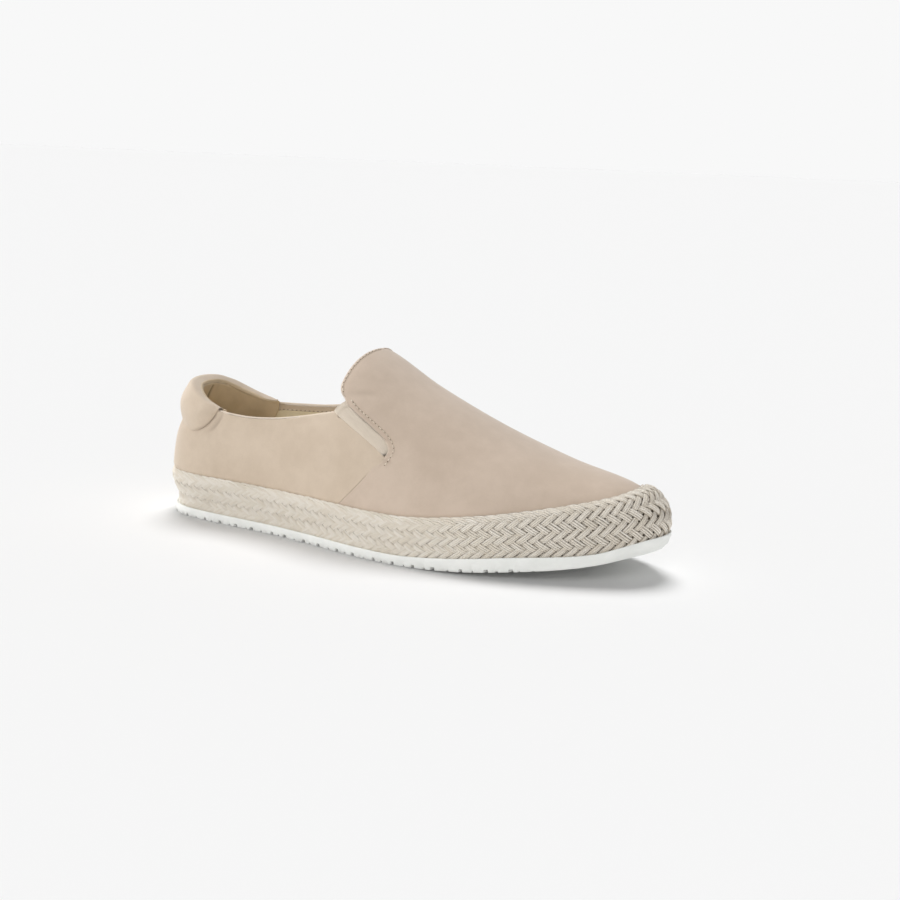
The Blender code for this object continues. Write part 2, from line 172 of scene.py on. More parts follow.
def half_width(station, side):
    share = station / LAST_LENGTH
    known = column(OUTLINE, "at") / LAST_LENGTH
    fullness = column(OUTLINE, side) / np.sqrt(known * (1.0 - known))
    heel = np.sqrt(2.0 * HEEL_RADIUS * LAST_LENGTH)
    toe = np.sqrt(2.0 * TOE_RADIUS * LAST_LENGTH)
    knots = np.concatenate([[0.0], known, [1.0]])
    full = follow(knots, np.concatenate([[heel], fullness, [toe]]), share)
    return full * np.sqrt(np.clip(share * (1.0 - share), 0.0, None))


def edge_point(turn):
    """The last's edge, in plan."""
    turn = np.asarray(turn, dtype=float)
    station = station_of(turn)
    outer = centre_line(station) - half_width(station, "lateral")
    inner = centre_line(station) + half_width(station, "medial")
    across = np.where(np.sin(turn) >= 0.0, outer, inner)
    return np.stack([station, across, np.zeros_like(station)], axis=-1)


def edge_normal(turn):
    along = edge_point(np.asarray(turn) + 0.01) - edge_point(np.asarray(turn) - 0.01)
    return unit(np.stack([along[..., 1], -along[..., 0], along[..., 2]], axis=-1))


def sole_edge(turn, outset, height):
    """A point outside the last's edge, at a height above the lifted sole's underside."""
    station = station_of(turn)
    outset = outset - table(SECTIONS, "tuck", station)
    level = UP * (toe_spring(station) + height)[..., None]
    return edge_point(turn) + edge_normal(turn) * outset[..., None] + level


def rim_sag(station):
    return RIM_SAG * ease((lift_share(station) - RIM_SAG_START) / RIM_SAG_RUN)


def thicker(station):
    """How much further down the rubber reaches between the ball and the toe than a level layer would."""
    lift = lift_share(station)
    return TOE_SPRING * (lift**SPRING_CURL - lift**TREAD_CURL) + 0.6 * rim_sag(station)


def toe_share(station):
    return ease((station - TOE_RIM_START) / (LAST_LENGTH - TOE_RIM_START))


def rim_outset(station):
    return GAP + BRAID_THICKNESS + GAP + RIM_WIDTH * (1.0 + toe_share(station))


all_turns = np.linspace(0.0, 2.0 * pi, 1441)
plan = sole_edge(all_turns, rim_outset(station_of(all_turns)), 0.0)
sole_low, sole_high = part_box("outsole")
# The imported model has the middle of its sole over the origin, and the last has its heel there.
SHIFT = np.array([
    (sole_low.x + sole_high.x) / 2 - (plan[:, 0].min() + plan[:, 0].max()) / 2,
    (sole_low.y + sole_high.y) / 2 - (plan[:, 1].min() + plan[:, 1].max()) / 2,
    0.0,
])


class Signal:
    """A value in a finish's nodes: arithmetic adds Math nodes, and node() adds any other kind."""

    def __init__(self, tree, socket):
        self.tree = tree
        self.socket = socket

    def node(self, kind, settings=None, inputs=None, output=0):
        made = self.tree.nodes.new(kind)
        for name, value in (settings or {}).items():
            setattr(made, name, value)
        sockets = {socket.identifier: socket for socket in made.inputs}
        for name, value in (inputs or {}).items():
            if isinstance(value, Signal):
                self.tree.links.new(value.socket, sockets[name])
            else:
                sockets[name].default_value = value
        found = made.outputs[output] if isinstance(output, int) else next(
            socket for socket in made.outputs if socket.identifier == output)
        return Signal(self.tree, found)

    def math(self, operation, first, second=0.0):
        return self.node("ShaderNodeMath", {"operation": operation}, {"Value": first, "Value_001": second})

    def __add__(self, other):
        return self.math("ADD", self, other)

    __radd__ = __add__

    def __sub__(self, other):
        return self.math("SUBTRACT", self, other)

    def __rsub__(self, other):
        return self.math("SUBTRACT", other, self)

    def __mul__(self, other):
        return self.math("MULTIPLY", self, other)

    __rmul__ = __mul__

    def __truediv__(self, other):
        return self.math("DIVIDE", self, other)

    def sine(self):
        return self.math("SINE", self)

    def between(self, low, high):
        """0 below low, 1 above high, smooth between them (low may be the larger)."""
        return self.node("ShaderNodeMapRange", {"interpolation_type": "SMOOTHSTEP", "clamp": True}, {
            "Value": self, "From Min": low, "From Max": high, "To Min": 0.0, "To Max": 1.0})

    def noise(self, scale, detail=2.0, roughness=0.5, stretch=(1.0, 1.0, 1.0)):
        """Noise over this vector, about 0.5."""
        placed = self.node("ShaderNodeVectorMath", {"operation": "MULTIPLY"},
                           {"Vector": self, "Vector_001": stretch})
        return self.node("ShaderNodeTexNoise", {"noise_dimensions": "3D"}, {
            "Vector": placed, "Scale": scale, "Detail": detail, "Roughness": roughness})

    def mix(self, first, second):
        """The first colour where this is 0, the second where it is 1."""
        return self.node("ShaderNodeMix", {"data_type": "RGBA"}, {
            "Factor_Float": self, "A_Color": first, "B_Color": second}, output="Result_Color")

    def axis(self, number):
        """One coordinate of this position: 0 along the shoe, 1 across it, 2 up."""
        return self.node("ShaderNodeSeparateXYZ", inputs={"Vector": self}, output=number)

    def attribute(self, name):
        settings = {"attribute_type": "GEOMETRY", "attribute_name": name}
        return self.node("ShaderNodeAttribute", settings, output=2)


def shade(*rgb):
    return (*rgb, 1.0)


def new_finish(name, roughness, sheen=0.0, sheen_roughness=0.5):
    """A material with its shader; returns it with its shader and its object-space position."""
    made = bpy.data.materials.new(name)
    made.use_nodes = True
    shader = made.node_tree.nodes["Principled BSDF"]
    shader.inputs["Roughness"].default_value = roughness
    shader.inputs["Sheen Weight"].default_value = sheen
    shader.inputs["Sheen Roughness"].default_value = sheen_roughness
    start = Signal(made.node_tree, None)
    return made, shader, start.node("ShaderNodeTexCoord", output=3)


def paint(shader, colour=None, roughness=None, height=None, distance=0.0001):
    """Link what varies over the surface to the shader: colour, roughness and a bump."""
    tree = shader.id_data
    if colour is not None:
        tree.links.new(colour.socket, shader.inputs["Base Color"])
    if roughness is not None:
        tree.links.new(roughness.socket, shader.inputs["Roughness"])
    if height is not None:
        bump = height.node("ShaderNodeBump", inputs={
            "Height": height, "Distance": distance, "Strength": 1.0})
        tree.links.new(bump.socket, shader.inputs["Normal"])


def keep_on_points(mesh, label, numbers):
    made = mesh.attributes.new(label, "FLOAT", "POINT")
    made.data.foreach_set("value", np.asarray(numbers, dtype=float))


def shoe_mesh(name, points, faces, finish, sharp=None, values=None):
    """A closed mesh from points on the last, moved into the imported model's place; each of the
    values, one for a point, becomes an attribute for the finish."""
    mesh = bpy.data.meshes.new(name)
    mesh.from_pydata((np.asarray(points) + SHIFT).tolist(), [], [list(face) for face in faces])
    for label, numbers in (values or {}).items():
        keep_on_points(mesh, label, numbers)
    work = bmesh.new()
    work.from_mesh(mesh)
    bmesh.ops.remove_doubles(work, verts=work.verts, dist=0.000001)
    bmesh.ops.dissolve_degenerate(work, edges=work.edges, dist=0.000001)
    bmesh.ops.recalc_face_normals(work, faces=work.faces)
    work.to_mesh(mesh)
    work.free()
    mesh.shade_smooth()
    if sharp:
        mesh.set_sharp_from_angle(angle=sharp)
    mesh.materials.append(finish)
    made = bpy.data.objects.new(name, mesh)
    bpy.context.collection.objects.link(made)
    return made


def tube_faces(rings, size):
    """Quads between successive closed rings."""
    faces = []
    for i in range(rings - 1):
        for j in range(size):
            k = (j + 1) % size
            faces.append((i * size + j, i * size + k, (i + 1) * size + k, (i + 1) * size + j))
    return faces


def tread_columns():
    """Stations of the sole's cross sections with the tread's depth there, heel to toe."""
    columns = [(0.0, 0.0), (0.0008, 0.0), (0.0030, 0.0), (0.0065, 0.0)]
    middle = TREAD_PITCH
    wander = np.random.default_rng(3)
    while middle < LAST_LENGTH - TREAD_PITCH:
        for groove, at in ((MAIN_GROOVE, middle), (FINE_GROOVE, middle + TREAD_PITCH / 2)):
            at += wander.uniform(-TREAD_WANDER, TREAD_WANDER)
            half = groove.width / 2 * wander.uniform(0.7, 1.25)
            columns += [(at - half - groove.draft, 0.0), (at - half, groove.depth),
                        (at + half, groove.depth), (at + half + groove.draft, 0.0)]
        middle += TREAD_PITCH
    columns += [(LAST_LENGTH - back, 0.0) for back in (0.0042, 0.0022, 0.0008, 0.0)]
    return columns


def sole_ring(station, depth):
    """Section through the outsole: across the tread, up one side, across the top, down the other."""
    share = np.linspace(0.0, 1.0, ACROSS)
    wave = TREAD_WAVE * np.sin(share * 6.0 * pi) * ease(min(station, LAST_LENGTH - station) / 0.02)
    at = np.clip(station + wave, 0.0, LAST_LENGTH)
    turns = turn_of(at)
    open_end = 1.0 - ease((at - TREAD_FADE[0]) / (TREAD_FADE[1] - TREAD_FADE[0]))
    from_rim = np.minimum(share, 1.0 - share) * 2.0
    depths = depth * np.maximum(open_end, ease(from_rim / SOLID_RIM))
    arch = ARCH_RISE * np.sin(pi * np.clip((at - ARCH_START) / ARCH_LENGTH, 0.0, 1.0))**2
    low = rim_outset(at) - SIDE_DRAFT - (TOE_TUCK + TREAD_TUCK) * toe_share(at)
    depths = depths - thicker(at)
    outer, inner = sole_edge(turns, low, depths), sole_edge(-turns, low, depths + arch)
    ring = [outer + (inner - outer) * share[:, None]]
    lip = OUTSOLE_HEIGHT + RIM_RISE + TOE_RIM_RISE * toe_share(station)
    profile = ((-0.12, 0.0004), (0.0, 0.0012), (0.0, lip - 0.0006), (-0.18, lip - 0.0001),
               (-0.5, lip), (-0.9, lip - 0.0002), (-1.2, lip - 0.0006), (-1.2, OUTSOLE_HEIGHT))
    seat = (rim_outset(station) - TOE_TUCK * toe_share(station)) * np.ones(len(profile))
    out = seat + np.array([step for step, _ in profile]) * 0.001
    out[:2] -= TREAD_TUCK * toe_share(station) * np.array([1.0, 0.45])
    high = np.array([height for _, height in profile]) - rim_sag(station)
    high[1] += 0.0010 * toe_share(station)
    high[:2] += (depths[0] + thicker(station)) * np.array([0.9, 0.3]) - thicker(station) + rim_sag(station)
    turn = float(turn_of(station))
    spread = np.full(len(profile), turn)
    arched = high.copy()
    arched[:2] += arch[-1] * np.array([1.0, 0.6])
    ring.append(sole_edge(-spread, out, arched))
    top = np.linspace(1.0, 0.0, 5)[:, None]
    inset, seat_height = out[-1] - 0.0004, OUTSOLE_HEIGHT - rim_sag(station)
    left, right = sole_edge(turn, inset, seat_height), sole_edge(-turn, inset, seat_height)
    ring.append(left + (right - left) * top)
    ring.append(sole_edge(spread, out, high)[::-1])
    return np.concatenate(ring)


rubber, shader, position = new_finish("white rubber", 0.5)
mottle = position.noise(90.0, 4.0, 0.6)
speck = position.noise(2600.0, 2.0)
dust = position.axis(2).between(0.0032, 0.0002) * position.noise(260.0, 3.0, 0.6).between(0.38, 0.66)
clean = mottle.between(0.3, 0.7).mix(shade(0.85, 0.86, 0.825), shade(0.91, 0.915, 0.885))
colour = (dust * 0.55).mix(clean, shade(0.62, 0.61, 0.58))
paint(shader, colour, 0.46 + 0.16 * mottle + 0.12 * dust, speck + 2.0 * mottle, 0.00006)

rings = [sole_ring(*at_depth) for at_depth in tread_columns()]
faces = tube_faces(len(rings), len(rings[0]))
outsole = shoe_mesh("outsole_rubber", np.concatenate(rings), faces, rubber, 0.6)
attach(outsole, "root")
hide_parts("outsole")

# ---------------------------------------------------------------- jute floor
# The flat plait is sewn round and round into a firm pad under the foot, turned up at its edge behind
# the outer braid. It is only glimpsed between the strands, and it carries the sides of the upper.

JUTE_FLOOR = 0.0070             # thickness of the pad under the foot
FEATHER = OUTSOLE_HEIGHT + JUTE_FLOOR + 2 * GAP     # height of the upper's lower edge
JUTE_TOP = 0.0245               # the plait's top edge, from heel to ball
JUTE_TOE_RISE = 0.0022          # and this much taller at the toe
TUCK_HEIGHT = 0.014             # the upper is drawn in under the last below this height
FLOOR_COLUMNS = 240
WALL_FACE = 0.0010              # the turned-up edge's outer face, outside the upper
WALL_SHORT = 0.0016             # it ends this far below the plait's top edge
NEARBY = 0.002                  # step along the last, or share of a climb, over which a slope is taken


def last_point(turn, climb):
    """The outer face of the upper: climb 0 at its lower edge, 1 at the middle of the instep."""
    turn, climb = np.broadcast_arrays(np.asarray(turn, dtype=float), np.asarray(climb, dtype=float))
    climb = climb[..., None]
    station = station_of(turn)
    foot = edge_point(turn) + UP * (FEATHER + toe_spring(station))[..., None]
    top_at = table(SECTIONS, "top_at", station)
    top_height = table(SECTIONS, "top_height", station)
    top = np.stack([top_at, centre_line(top_at), top_height], axis=-1)
    reach = (foot - top) * np.array([1.0, 1.0, 0.0])
    outward = unit(reach)
    height = (top - foot)[..., 2:]
    top_run, top_rise = (
        table(SECTIONS, name, station + NEARBY) - table(SECTIONS, name, station - NEARBY)
        for name in ("top_at", "top_height"))
    slope = (top_rise / top_run)[..., None]
    wall = table(SECTIONS, "wall", station)[..., None]
    shoulder = table(SECTIONS, "shoulder", station)[..., None]
    lean = table(SECTIONS, "lean", station)[..., None]
    back = np.array([-1.0, 0.0, 0.0]) * table(SECTIONS, "rake", station)[..., None]
    low = foot + UP * height * wall + outward * lean + back
    high = top + reach * shoulder + UP * slope * reach[..., :1] * shoulder
    rest = 1.0 - climb
    point = rest**3 * foot + 3 * rest**2 * climb * low + 3 * rest * climb**2 * high + climb**3 * top
    lowness = np.clip(1.0 - (point - foot)[..., 2:] / TUCK_HEIGHT, 0.0, 1.0)
    return point - outward * table(SECTIONS, "tuck", station)[..., None] * lowness**2


def last_normal(turn, climb):
    climb = np.clip(climb, NEARBY, 1.0 - NEARBY)
    along = last_point(turn + 0.004, climb) - last_point(turn - 0.004, climb)
    rise = last_point(turn, climb + NEARBY) - last_point(turn, climb - NEARBY)
    return unit(np.cross(along, rise))


def off_last(turn, climb, offset):
    """A point at a distance outside (or, if negative, inside) the upper's outer face."""
    turn, climb = np.broadcast_arrays(np.asarray(turn, dtype=float), np.asarray(climb, dtype=float))
    return last_point(turn, climb) + last_normal(turn, climb) * np.asarray(offset)[..., None]


def climb_to(turns, heights):
    """How far up its section the last reaches a height, for one or more heights at each turn."""
    turns = np.asarray(turns, dtype=float)
    samples = np.linspace(0.0, 1.0, 201)
    levels = last_point(turns[:, None], samples[None, :])[..., 2]
    heights = np.asarray(heights, dtype=float)
    return np.array([np.interp(height, level, samples) for height, level in zip(heights, levels)])


def jute_top(station):
    return JUTE_TOP + toe_spring(station) + JUTE_TOE_RISE * ease(lift_share(station))


def arc_lengths(points):
    steps = np.linalg.norm(np.diff(points, axis=0), axis=-1)
    return np.concatenate([[0.0], np.cumsum(steps)])


def slab_faces(count, size):
    """Faces of a closed solid whose columns run from its underside's edge up to its top's edge."""
    faces = []
    for i in range(count):
        k = (i + 1) % count
        for j in range(size - 1):
            faces.append((i * size + j, k * size + j, k * size + j + 1, i * size + j + 1))
    for row in (0, size - 1):
        for i in range(count // 2):
            corners = [i, i + 1, (count - i - 1) % count, (count - i) % count]
            faces.append(tuple(dict.fromkeys(corner * size + row for corner in corners)))
    return faces


jute_core, shader, position = new_finish("sewn jute pad", 0.95, sheen=0.1)
rope = position.noise(420.0, 3.0, 0.6, stretch=(0.15, 1.0, 1.0))
# The pad's jute is coloured far darker than the braid's: painted shade for the gaps between the strands.
paint(shader, rope.between(0.3, 0.7).mix(shade(0.30, 0.24, 0.17), shade(0.44, 0.36, 0.26)),
      0.9 + 0.08 * rope, rope, 0.0004)

around = np.linspace(0.0, 2.0 * pi, FLOOR_COLUMNS, endpoint=False)
bottom = OUTSOLE_HEIGHT + GAP
stations = station_of(around)
feather = FEATHER + toe_spring(stations)
wall_height = jute_top(stations) - WALL_SHORT - feather
levels = feather[:, None] + wall_height[:, None] * np.array([0.15, 0.4, 0.7, 1.0])
climbs = climb_to(around, levels)


def ring_at(out, height):
    return sole_edge(around, np.full(around.shape, out), height)[:, None]


core_points = np.concatenate([
    ring_at(WALL_FACE - 0.0010, bottom - rim_sag(stations)),
    ring_at(WALL_FACE, bottom + 0.0008 - rim_sag(stations)),
    ring_at(WALL_FACE, bottom + 0.0050),
    off_last(around[:, None], climbs, np.full(climbs.shape, WALL_FACE)),
    off_last(around[:, None], climbs[:, ::-1], np.full(climbs.shape, 0.0003)),
    ring_at(-0.0006, bottom + JUTE_FLOOR)], axis=1).reshape(-1, 3)
core = shoe_mesh("jute_pad", core_points, slab_faces(FLOOR_COLUMNS, 12), jute_core, 0.7)
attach(core, "root")
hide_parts("jute_midsole")

# ---------------------------------------------------------------- braid
# Round the side goes one more turn of the flat plait: strands of three jute yarns, each strand over
# two and under two, sewn on edge against the upper. Its lower edge sits in the outsole.

BRAID_MIDDLE = 0.0019           # distance of the plait's middle from the last
BALL_STAND = 0.0003             # and this much further from the ball forward
TIP_STAND = 0.0009              # and this much more at the tip of the toe
BRAID_FOOT = 0.0017             # the plait's lower edge sits this deep in the outsole
YARN_RADIUS = 0.00057
YARN_FLATNESS = 0.92            # the yarns are pressed a little flat in the plait
TOE_GIRTH = 0.97                # of a yarn, drawn thinner round the toe
YARN_STEP = 0.00100             # from yarn to yarn in a strand
TOE_STEP = 0.00098
ROUNDED = 0.00015               # a strand's outer yarns lie this much deeper than its middle one
STRAND_PITCH = 0.0057           # along the shoe, from heel to ball
TOE_PITCH = 0.0058              # and round the toe
ROWS = 13.0                     # crossings of a strand from the plait's top edge to its foot
FOLD = 0.0025                   # how round a strand turns at the plait's edge
CREST = 0.0011                  # the point where its two legs would meet lies this far above the edge
CREST_LEAN = 0.0009             # the turning strands lean in towards the upper
WEAVE = 0.00046                 # how far a strand rises and dips
TOE_WEAVE = 0.00072             # and round the toe
SHADED_FLANK_ROWS = (0.67, 0.38)       # along the sides painted shade darkens the yarns' outer flanks mostly at these shares of the height
SHADED_FLANK_WIDTH = 0.06
STRAND_SWAY = 0.00012           # how unevenly the strands lie
YARN_SWAY = 0.00007             # and the yarns in them
BRAID_COLUMNS = 480
LEG_POINTS = 38
YARN_SIDES = 6
RISES = 25                      # rows of the grid that the plait's middle surface is kept in

# The middle surface runs round the shoe and up from inside the outsole to the plait's top edge.
ring_turns = np.linspace(0.0, 2.0 * pi, BRAID_COLUMNS + 1)
ring_stations = station_of(ring_turns)
lift = toe_spring(ring_stations)
raised = np.linspace(0.12, 1.0, 9)
levels = FEATHER + lift[:, None] + (jute_top(ring_stations) - FEATHER - lift)[:, None] * raised
climbs = climb_to(ring_turns, levels)
stand = (BRAID_MIDDLE + BALL_STAND * ease((ring_stations - 0.15) / 0.06)
         + TIP_STAND * ease((ring_stations - 0.262) / 0.024))
LowRow = namedtuple("LowRow", "height share sag")
low_rows = [
    sole_edge(ring_turns, BRAID_MIDDLE + (stand - BRAID_MIDDLE) * row.share,
              bottom + row.height - row.sag * rim_sag(ring_stations))
    for row in (LowRow(-BRAID_FOOT, 0.0, 1.0), LowRow(0.0, 0.0, 1.0),
                LowRow(0.0022, 0.35, 0.7), LowRow(0.0046, 1.0, 0.35))]
high_rows = off_last(ring_turns[:, None], climbs, stand[:, None] * np.ones_like(climbs))
wall_grid = np.concatenate([np.stack(low_rows, axis=1), high_rows], axis=1)
braid_grid = np.empty((BRAID_COLUMNS + 1, RISES, 3))
braid_height = np.empty(BRAID_COLUMNS + 1)
for i, wall_row in enumerate(wall_grid):
    lengths = arc_lengths(wall_row)
    braid_height[i] = lengths[-1]
    for axis in range(3):
        braid_grid[i, :, axis] = follow(lengths, wall_row[:, axis], np.linspace(0.0, lengths[-1], RISES))
braid_along = arc_lengths(braid_grid[:, RISES // 2])
braid_round = braid_along[-1]
braid_normals = unit(np.cross(np.gradient(braid_grid, axis=0), np.gradient(braid_grid, axis=1)))
braid_normals[0] = braid_normals[-1] = unit(braid_normals[0] + braid_normals[-1])


def on_grid(grid, along, rise):
    """Values of a grid at distances along the plait and shares of its height."""
    column = np.interp(np.mod(along, braid_round), braid_along, np.arange(BRAID_COLUMNS + 1))
    row = np.clip(rise, 0.0, 1.0) * (RISES - 1)
    i = np.clip(column.astype(int), 0, BRAID_COLUMNS - 1)
    j = np.clip(row.astype(int), 0, RISES - 2)
    a, b = (column - i)[..., None], (row - j)[..., None]
    near = grid[i, j] * (1 - b) + grid[i, j + 1] * b
    far = grid[i + 1, j] * (1 - b) + grid[i + 1, j + 1] * b
    return near * (1 - a) + far * a


def yarn_path(start, pitch, swell, step_out):
    """One yarn of a strand that comes up from the sole, turns over the plait's edge and goes down:
    its points, their outward directions and their shares of the plait's height."""
    height = float(np.interp(np.mod(start, braid_round), braid_along, braid_height)) + CREST
    row = height / ROWS
    t = np.linspace(-1.0, 1.0, 2 * LEG_POINTS + 1)
    run = ROWS * pitch / 2.0 * np.sign(t) * np.abs(t)**1.12
    phase = 2.0 * np.abs(run) / pitch
    drop = ((row * phase)**3 + FOLD**3)**(1.0 / 3.0)
    tangent = unit(np.stack([np.ones_like(run), -np.gradient(drop, run)], axis=-1))
    along = start + run - tangent[:, 1] * step_out
    rise = height - drop + tangent[:, 0] * step_out
    by_twos = np.clip(1.3 * np.sin(pi / 2 * (phase - 0.5)), -1.0, 1.0)
    weave = np.where(phase < 1.0, 0.92 * np.sin(pi / 2 * phase), by_twos) * np.sign(run)
    share = rise / (height - CREST)
    lean = CREST_LEAN * ease((share - 0.84) / 0.16)
    calm = 1.0 - 0.4 * ease((share - 0.75) / 0.2)
    depth = swell * weave * calm - lean - ROUNDED * abs(step_out) / YARN_STEP
    points = on_grid(braid_grid, along, share)
    normals = unit(on_grid(braid_normals, along, share))
    keep = rise > 0.0002
    return (points + normals * depth[:, None])[keep], normals[keep], share[keep]


def sweep_tree():
    """Sweeps a round section along a mesh's edges, turned to face 'outward'; 'around' runs round it."""
    tree = bpy.data.node_groups.new("sweep", "GeometryNodeTree")
    for name, kind in (("Geometry", "Geometry"), ("Radius", "Float"), ("Sides", "Int"),
                       ("Flatness", "Float"), ("Finish", "Material")):
        made = tree.interface.new_socket(name, in_out="INPUT", socket_type="NodeSocket" + kind)
        if name == "Flatness":
            made.default_value = 1.0
    tree.interface.new_socket("Geometry", in_out="OUTPUT", socket_type="NodeSocketGeometry")
    way_in = tree.nodes.new("NodeGroupInput")
    way_out = tree.nodes.new("NodeGroupOutput")

    def step(kind, settings=None, **links):
        made = tree.nodes.new(kind)
        for name, value in (settings or {}).items():
            setattr(made, name, value)
        for name, value in links.items():
            socket = made.inputs[name.replace("_", " ")]
            if isinstance(value, bpy.types.NodeSocket):
                tree.links.new(value, socket)
            else:
                socket.default_value = value
        return made

    path = step("GeometryNodeMeshToCurve", Mesh=way_in.outputs["Geometry"])
    outward = step("GeometryNodeInputNamedAttribute", {"data_type": "FLOAT_VECTOR"}, Name="outward")
    faced = step("GeometryNodeSetCurveNormal", {"mode": "FREE"}, Curve=path.outputs["Curve"],
                 Normal=outward.outputs["Attribute"])
    girth = step("GeometryNodeInputNamedAttribute", {"data_type": "FLOAT"}, Name="girth")
    sized = step("GeometryNodeSetCurveRadius", Curve=faced.outputs["Curve"],
                 Radius=girth.outputs["Attribute"])
    section = step("GeometryNodeCurvePrimitiveCircle", Resolution=way_in.outputs["Sides"],
                   Radius=way_in.outputs["Radius"])
    squash = step("ShaderNodeCombineXYZ", X=way_in.outputs["Flatness"], Y=1.0, Z=1.0)
    pressed_flat = step("GeometryNodeTransform", Geometry=section.outputs["Curve"],
                        Scale=squash.outputs["Vector"])
    share = step("GeometryNodeSplineParameter")
    marked = step("GeometryNodeStoreNamedAttribute", {"data_type": "FLOAT", "domain": "POINT"},
                  Geometry=pressed_flat.outputs["Geometry"], Name="around", Value=share.outputs["Factor"])
    tube = step("GeometryNodeCurveToMesh", Curve=sized.outputs["Curve"],
                Profile_Curve=marked.outputs["Geometry"], Fill_Caps=True)
    smooth = step("GeometryNodeSetShadeSmooth", Geometry=tube.outputs["Mesh"])
    real = step("GeometryNodeRealizeInstances", Geometry=smooth.outputs["Geometry"])
    done = step("GeometryNodeSetMaterial", Geometry=real.outputs["Geometry"],
                Material=way_in.outputs["Finish"])
    tree.links.new(done.outputs["Geometry"], way_out.inputs["Geometry"])
    return tree


def grown(name, guide, tree, values):
    """The plain mesh that a node tree makes from a guide mesh."""
    holder = bpy.data.objects.new(name + "_guide", guide)
    bpy.context.collection.objects.link(holder)
    growing = holder.modifiers.new("grow", "NODES")
    growing.node_group = tree
    for item in tree.interface.items_tree:
        if item.in_out == "INPUT" and item.name in values:
            growing[item.identifier] = values[item.name]
    bpy.context.view_layer.update()
    mesh = bpy.data.meshes.new_from_object(holder.evaluated_get(bpy.context.evaluated_depsgraph_get()))
    mesh.name = name
    bpy.data.objects.remove(holder)
    made = bpy.data.objects.new(name, mesh)
    bpy.context.collection.objects.link(made)
    return made


def guide_mesh(name, paths):
    """A mesh of open paths: each is its points, its outward directions, a shade of its own and, if
    they aren't 1 and 0, its girth and how much painted shade its outer side takes at each point."""
    points, edges, outward, along, tint, girth, flank_shade = [], [], [], [], [], [], []
    for path, normals, own_shade, *rest in paths:
        first = len(points)
        points += (path + SHIFT).tolist()
        edges += [(first + i, first + i + 1) for i in range(len(path) - 1)]
        outward.append(normals)
        along.append(arc_lengths(path))
        tint.append(np.full(len(path), own_shade))
        girth.append(np.full(len(path), rest[0] if rest else 1.0))
        flank_shade.append(rest[1] if rest else np.zeros(len(path)))
    mesh = bpy.data.meshes.new(name)
    mesh.from_pydata(points, edges, [])
    facing = mesh.attributes.new("outward", "FLOAT_VECTOR", "POINT")
    facing.data.foreach_set("vector", np.concatenate(outward).ravel())
    for label, values in (("along", along), ("tint", tint), ("girth", girth), ("flank_shade", flank_shade)):
        keep_on_points(mesh, label, np.concatenate(values))
    return mesh


YARN_TWIST = 0.0046             # along a yarn, for one turn of its two plies
jute_yarn, shader, position = new_finish("jute yarn", 0.88, sheen=0.15)
along, round_it, tint, flank_shade = (position.attribute(name) for name in ("along", "around", "tint", "flank_shade"))
lay = along / YARN_TWIST + round_it
ply = (lay * (4.0 * pi)).sine()
fibre_place = position.node("ShaderNodeCombineXYZ", inputs={
    "X": along * 260.0, "Y": lay * 17.0, "Z": tint * 40.0})
fibre = fibre_place.noise(1.0, 3.0, 0.62)
slub = position.noise(70.0, 3.0, 0.55)
straw = fibre.between(0.3, 0.72).mix(shade(0.91, 0.835, 0.725), shade(0.98, 0.945, 0.875))
straw = (tint * 0.35 + slub * 0.45).between(0.10, 0.65).mix(shade(0.84, 0.765, 0.65), straw)
# Painted shade: the yarns darken a little towards the toe, and there the grooves between them darken too.
toeward_shade = position.axis(0).between(0.02, 0.12)
straw = (toeward_shade * 0.15).mix(straw, shade(0.74, 0.68, 0.60))
# Painted shade: each yarn's flank beside its neighbour is darkened towards brown.
sideways = (round_it * (-2.0 * pi)).sine()
painted_neighbour_shade = (flank_shade * sideways).between(0.15, 1.0) * 0.46
painted_groove_shade = (sideways * sideways).between(0.55, 1.0) * toeward_shade * 0.24
straw = (painted_neighbour_shade + painted_groove_shade).mix(straw, shade(0.34, 0.28, 0.21))
paint(shader, straw, 0.80 + 0.18 * fibre, ply * 0.45 + fibre * 0.55, 0.00016)

draw = np.random.default_rng(7)
pitches = STRAND_PITCH + (TOE_PITCH - STRAND_PITCH) * ease((ring_stations - 0.19) / 0.07)
weaves = WEAVE + (TOE_WEAVE - WEAVE) * ease((ring_stations - 0.16) / 0.07)
strand_numbers = np.concatenate([[0.0], np.cumsum(np.diff(braid_along) / pitches[1:])])
strands = int(round(strand_numbers[-1]))
strand_starts = np.interp(
    (np.arange(strands) + 0.5) / strands, strand_numbers / strand_numbers[-1], braid_along)
sweep = sweep_tree()
for side, name in ((0, "braid_outer"), (1, "braid_inner")):
    paths = []
    for start in strand_starts:
        pitch = np.interp(start, braid_along, pitches)
        swell = np.interp(start, braid_along, weaves)
        drawn = ease((np.interp(start, braid_along, ring_stations) - 0.17) / 0.06)
        sway = draw.normal(0.0, STRAND_SWAY)
        for yarn in (-1, 0, 1):
            own = draw.normal(0.0, YARN_SWAY)
            if (start > braid_round / 2) == bool(side):
                step_out = yarn * (YARN_STEP + (TOE_STEP - YARN_STEP) * drawn) + own
                path, normals, share = yarn_path(start + sway, pitch, swell, step_out)
                # Painted shade on the yarns' outer flanks: strongest in two rows along the sides, full round
                # the toe.
                shaded_rows = sum(np.exp(-((share - row) / SHADED_FLANK_WIDTH)**2) for row in SHADED_FLANK_ROWS)
                yarn_side_shade = drawn + (1.0 - drawn) * (0.12 + 0.80 * shaded_rows)
                girth = 1.0 + (TOE_GIRTH - 1.0) * drawn
                paths.append((path, normals, draw.random(), girth, yarn * yarn_side_shade))
    braid = grown(name, guide_mesh(name, paths), sweep, {
        "Radius": YARN_RADIUS, "Flatness": YARN_FLATNESS, "Sides": YARN_SIDES, "Finish": jute_yarn})
    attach(braid, "root")
    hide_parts("jute_midsole")

# ---------------------------------------------------------------- sock
# A thin textile-faced sock lies on the jute inside the shoe, cut to the foot's outline.

SOCK_INSET = 0.0023             # its edge lies this far inside the last's
SOCK_THICKNESS = 0.0030
TWILL_WAVES = 5200.0            # radians of its weave's waves in a metre

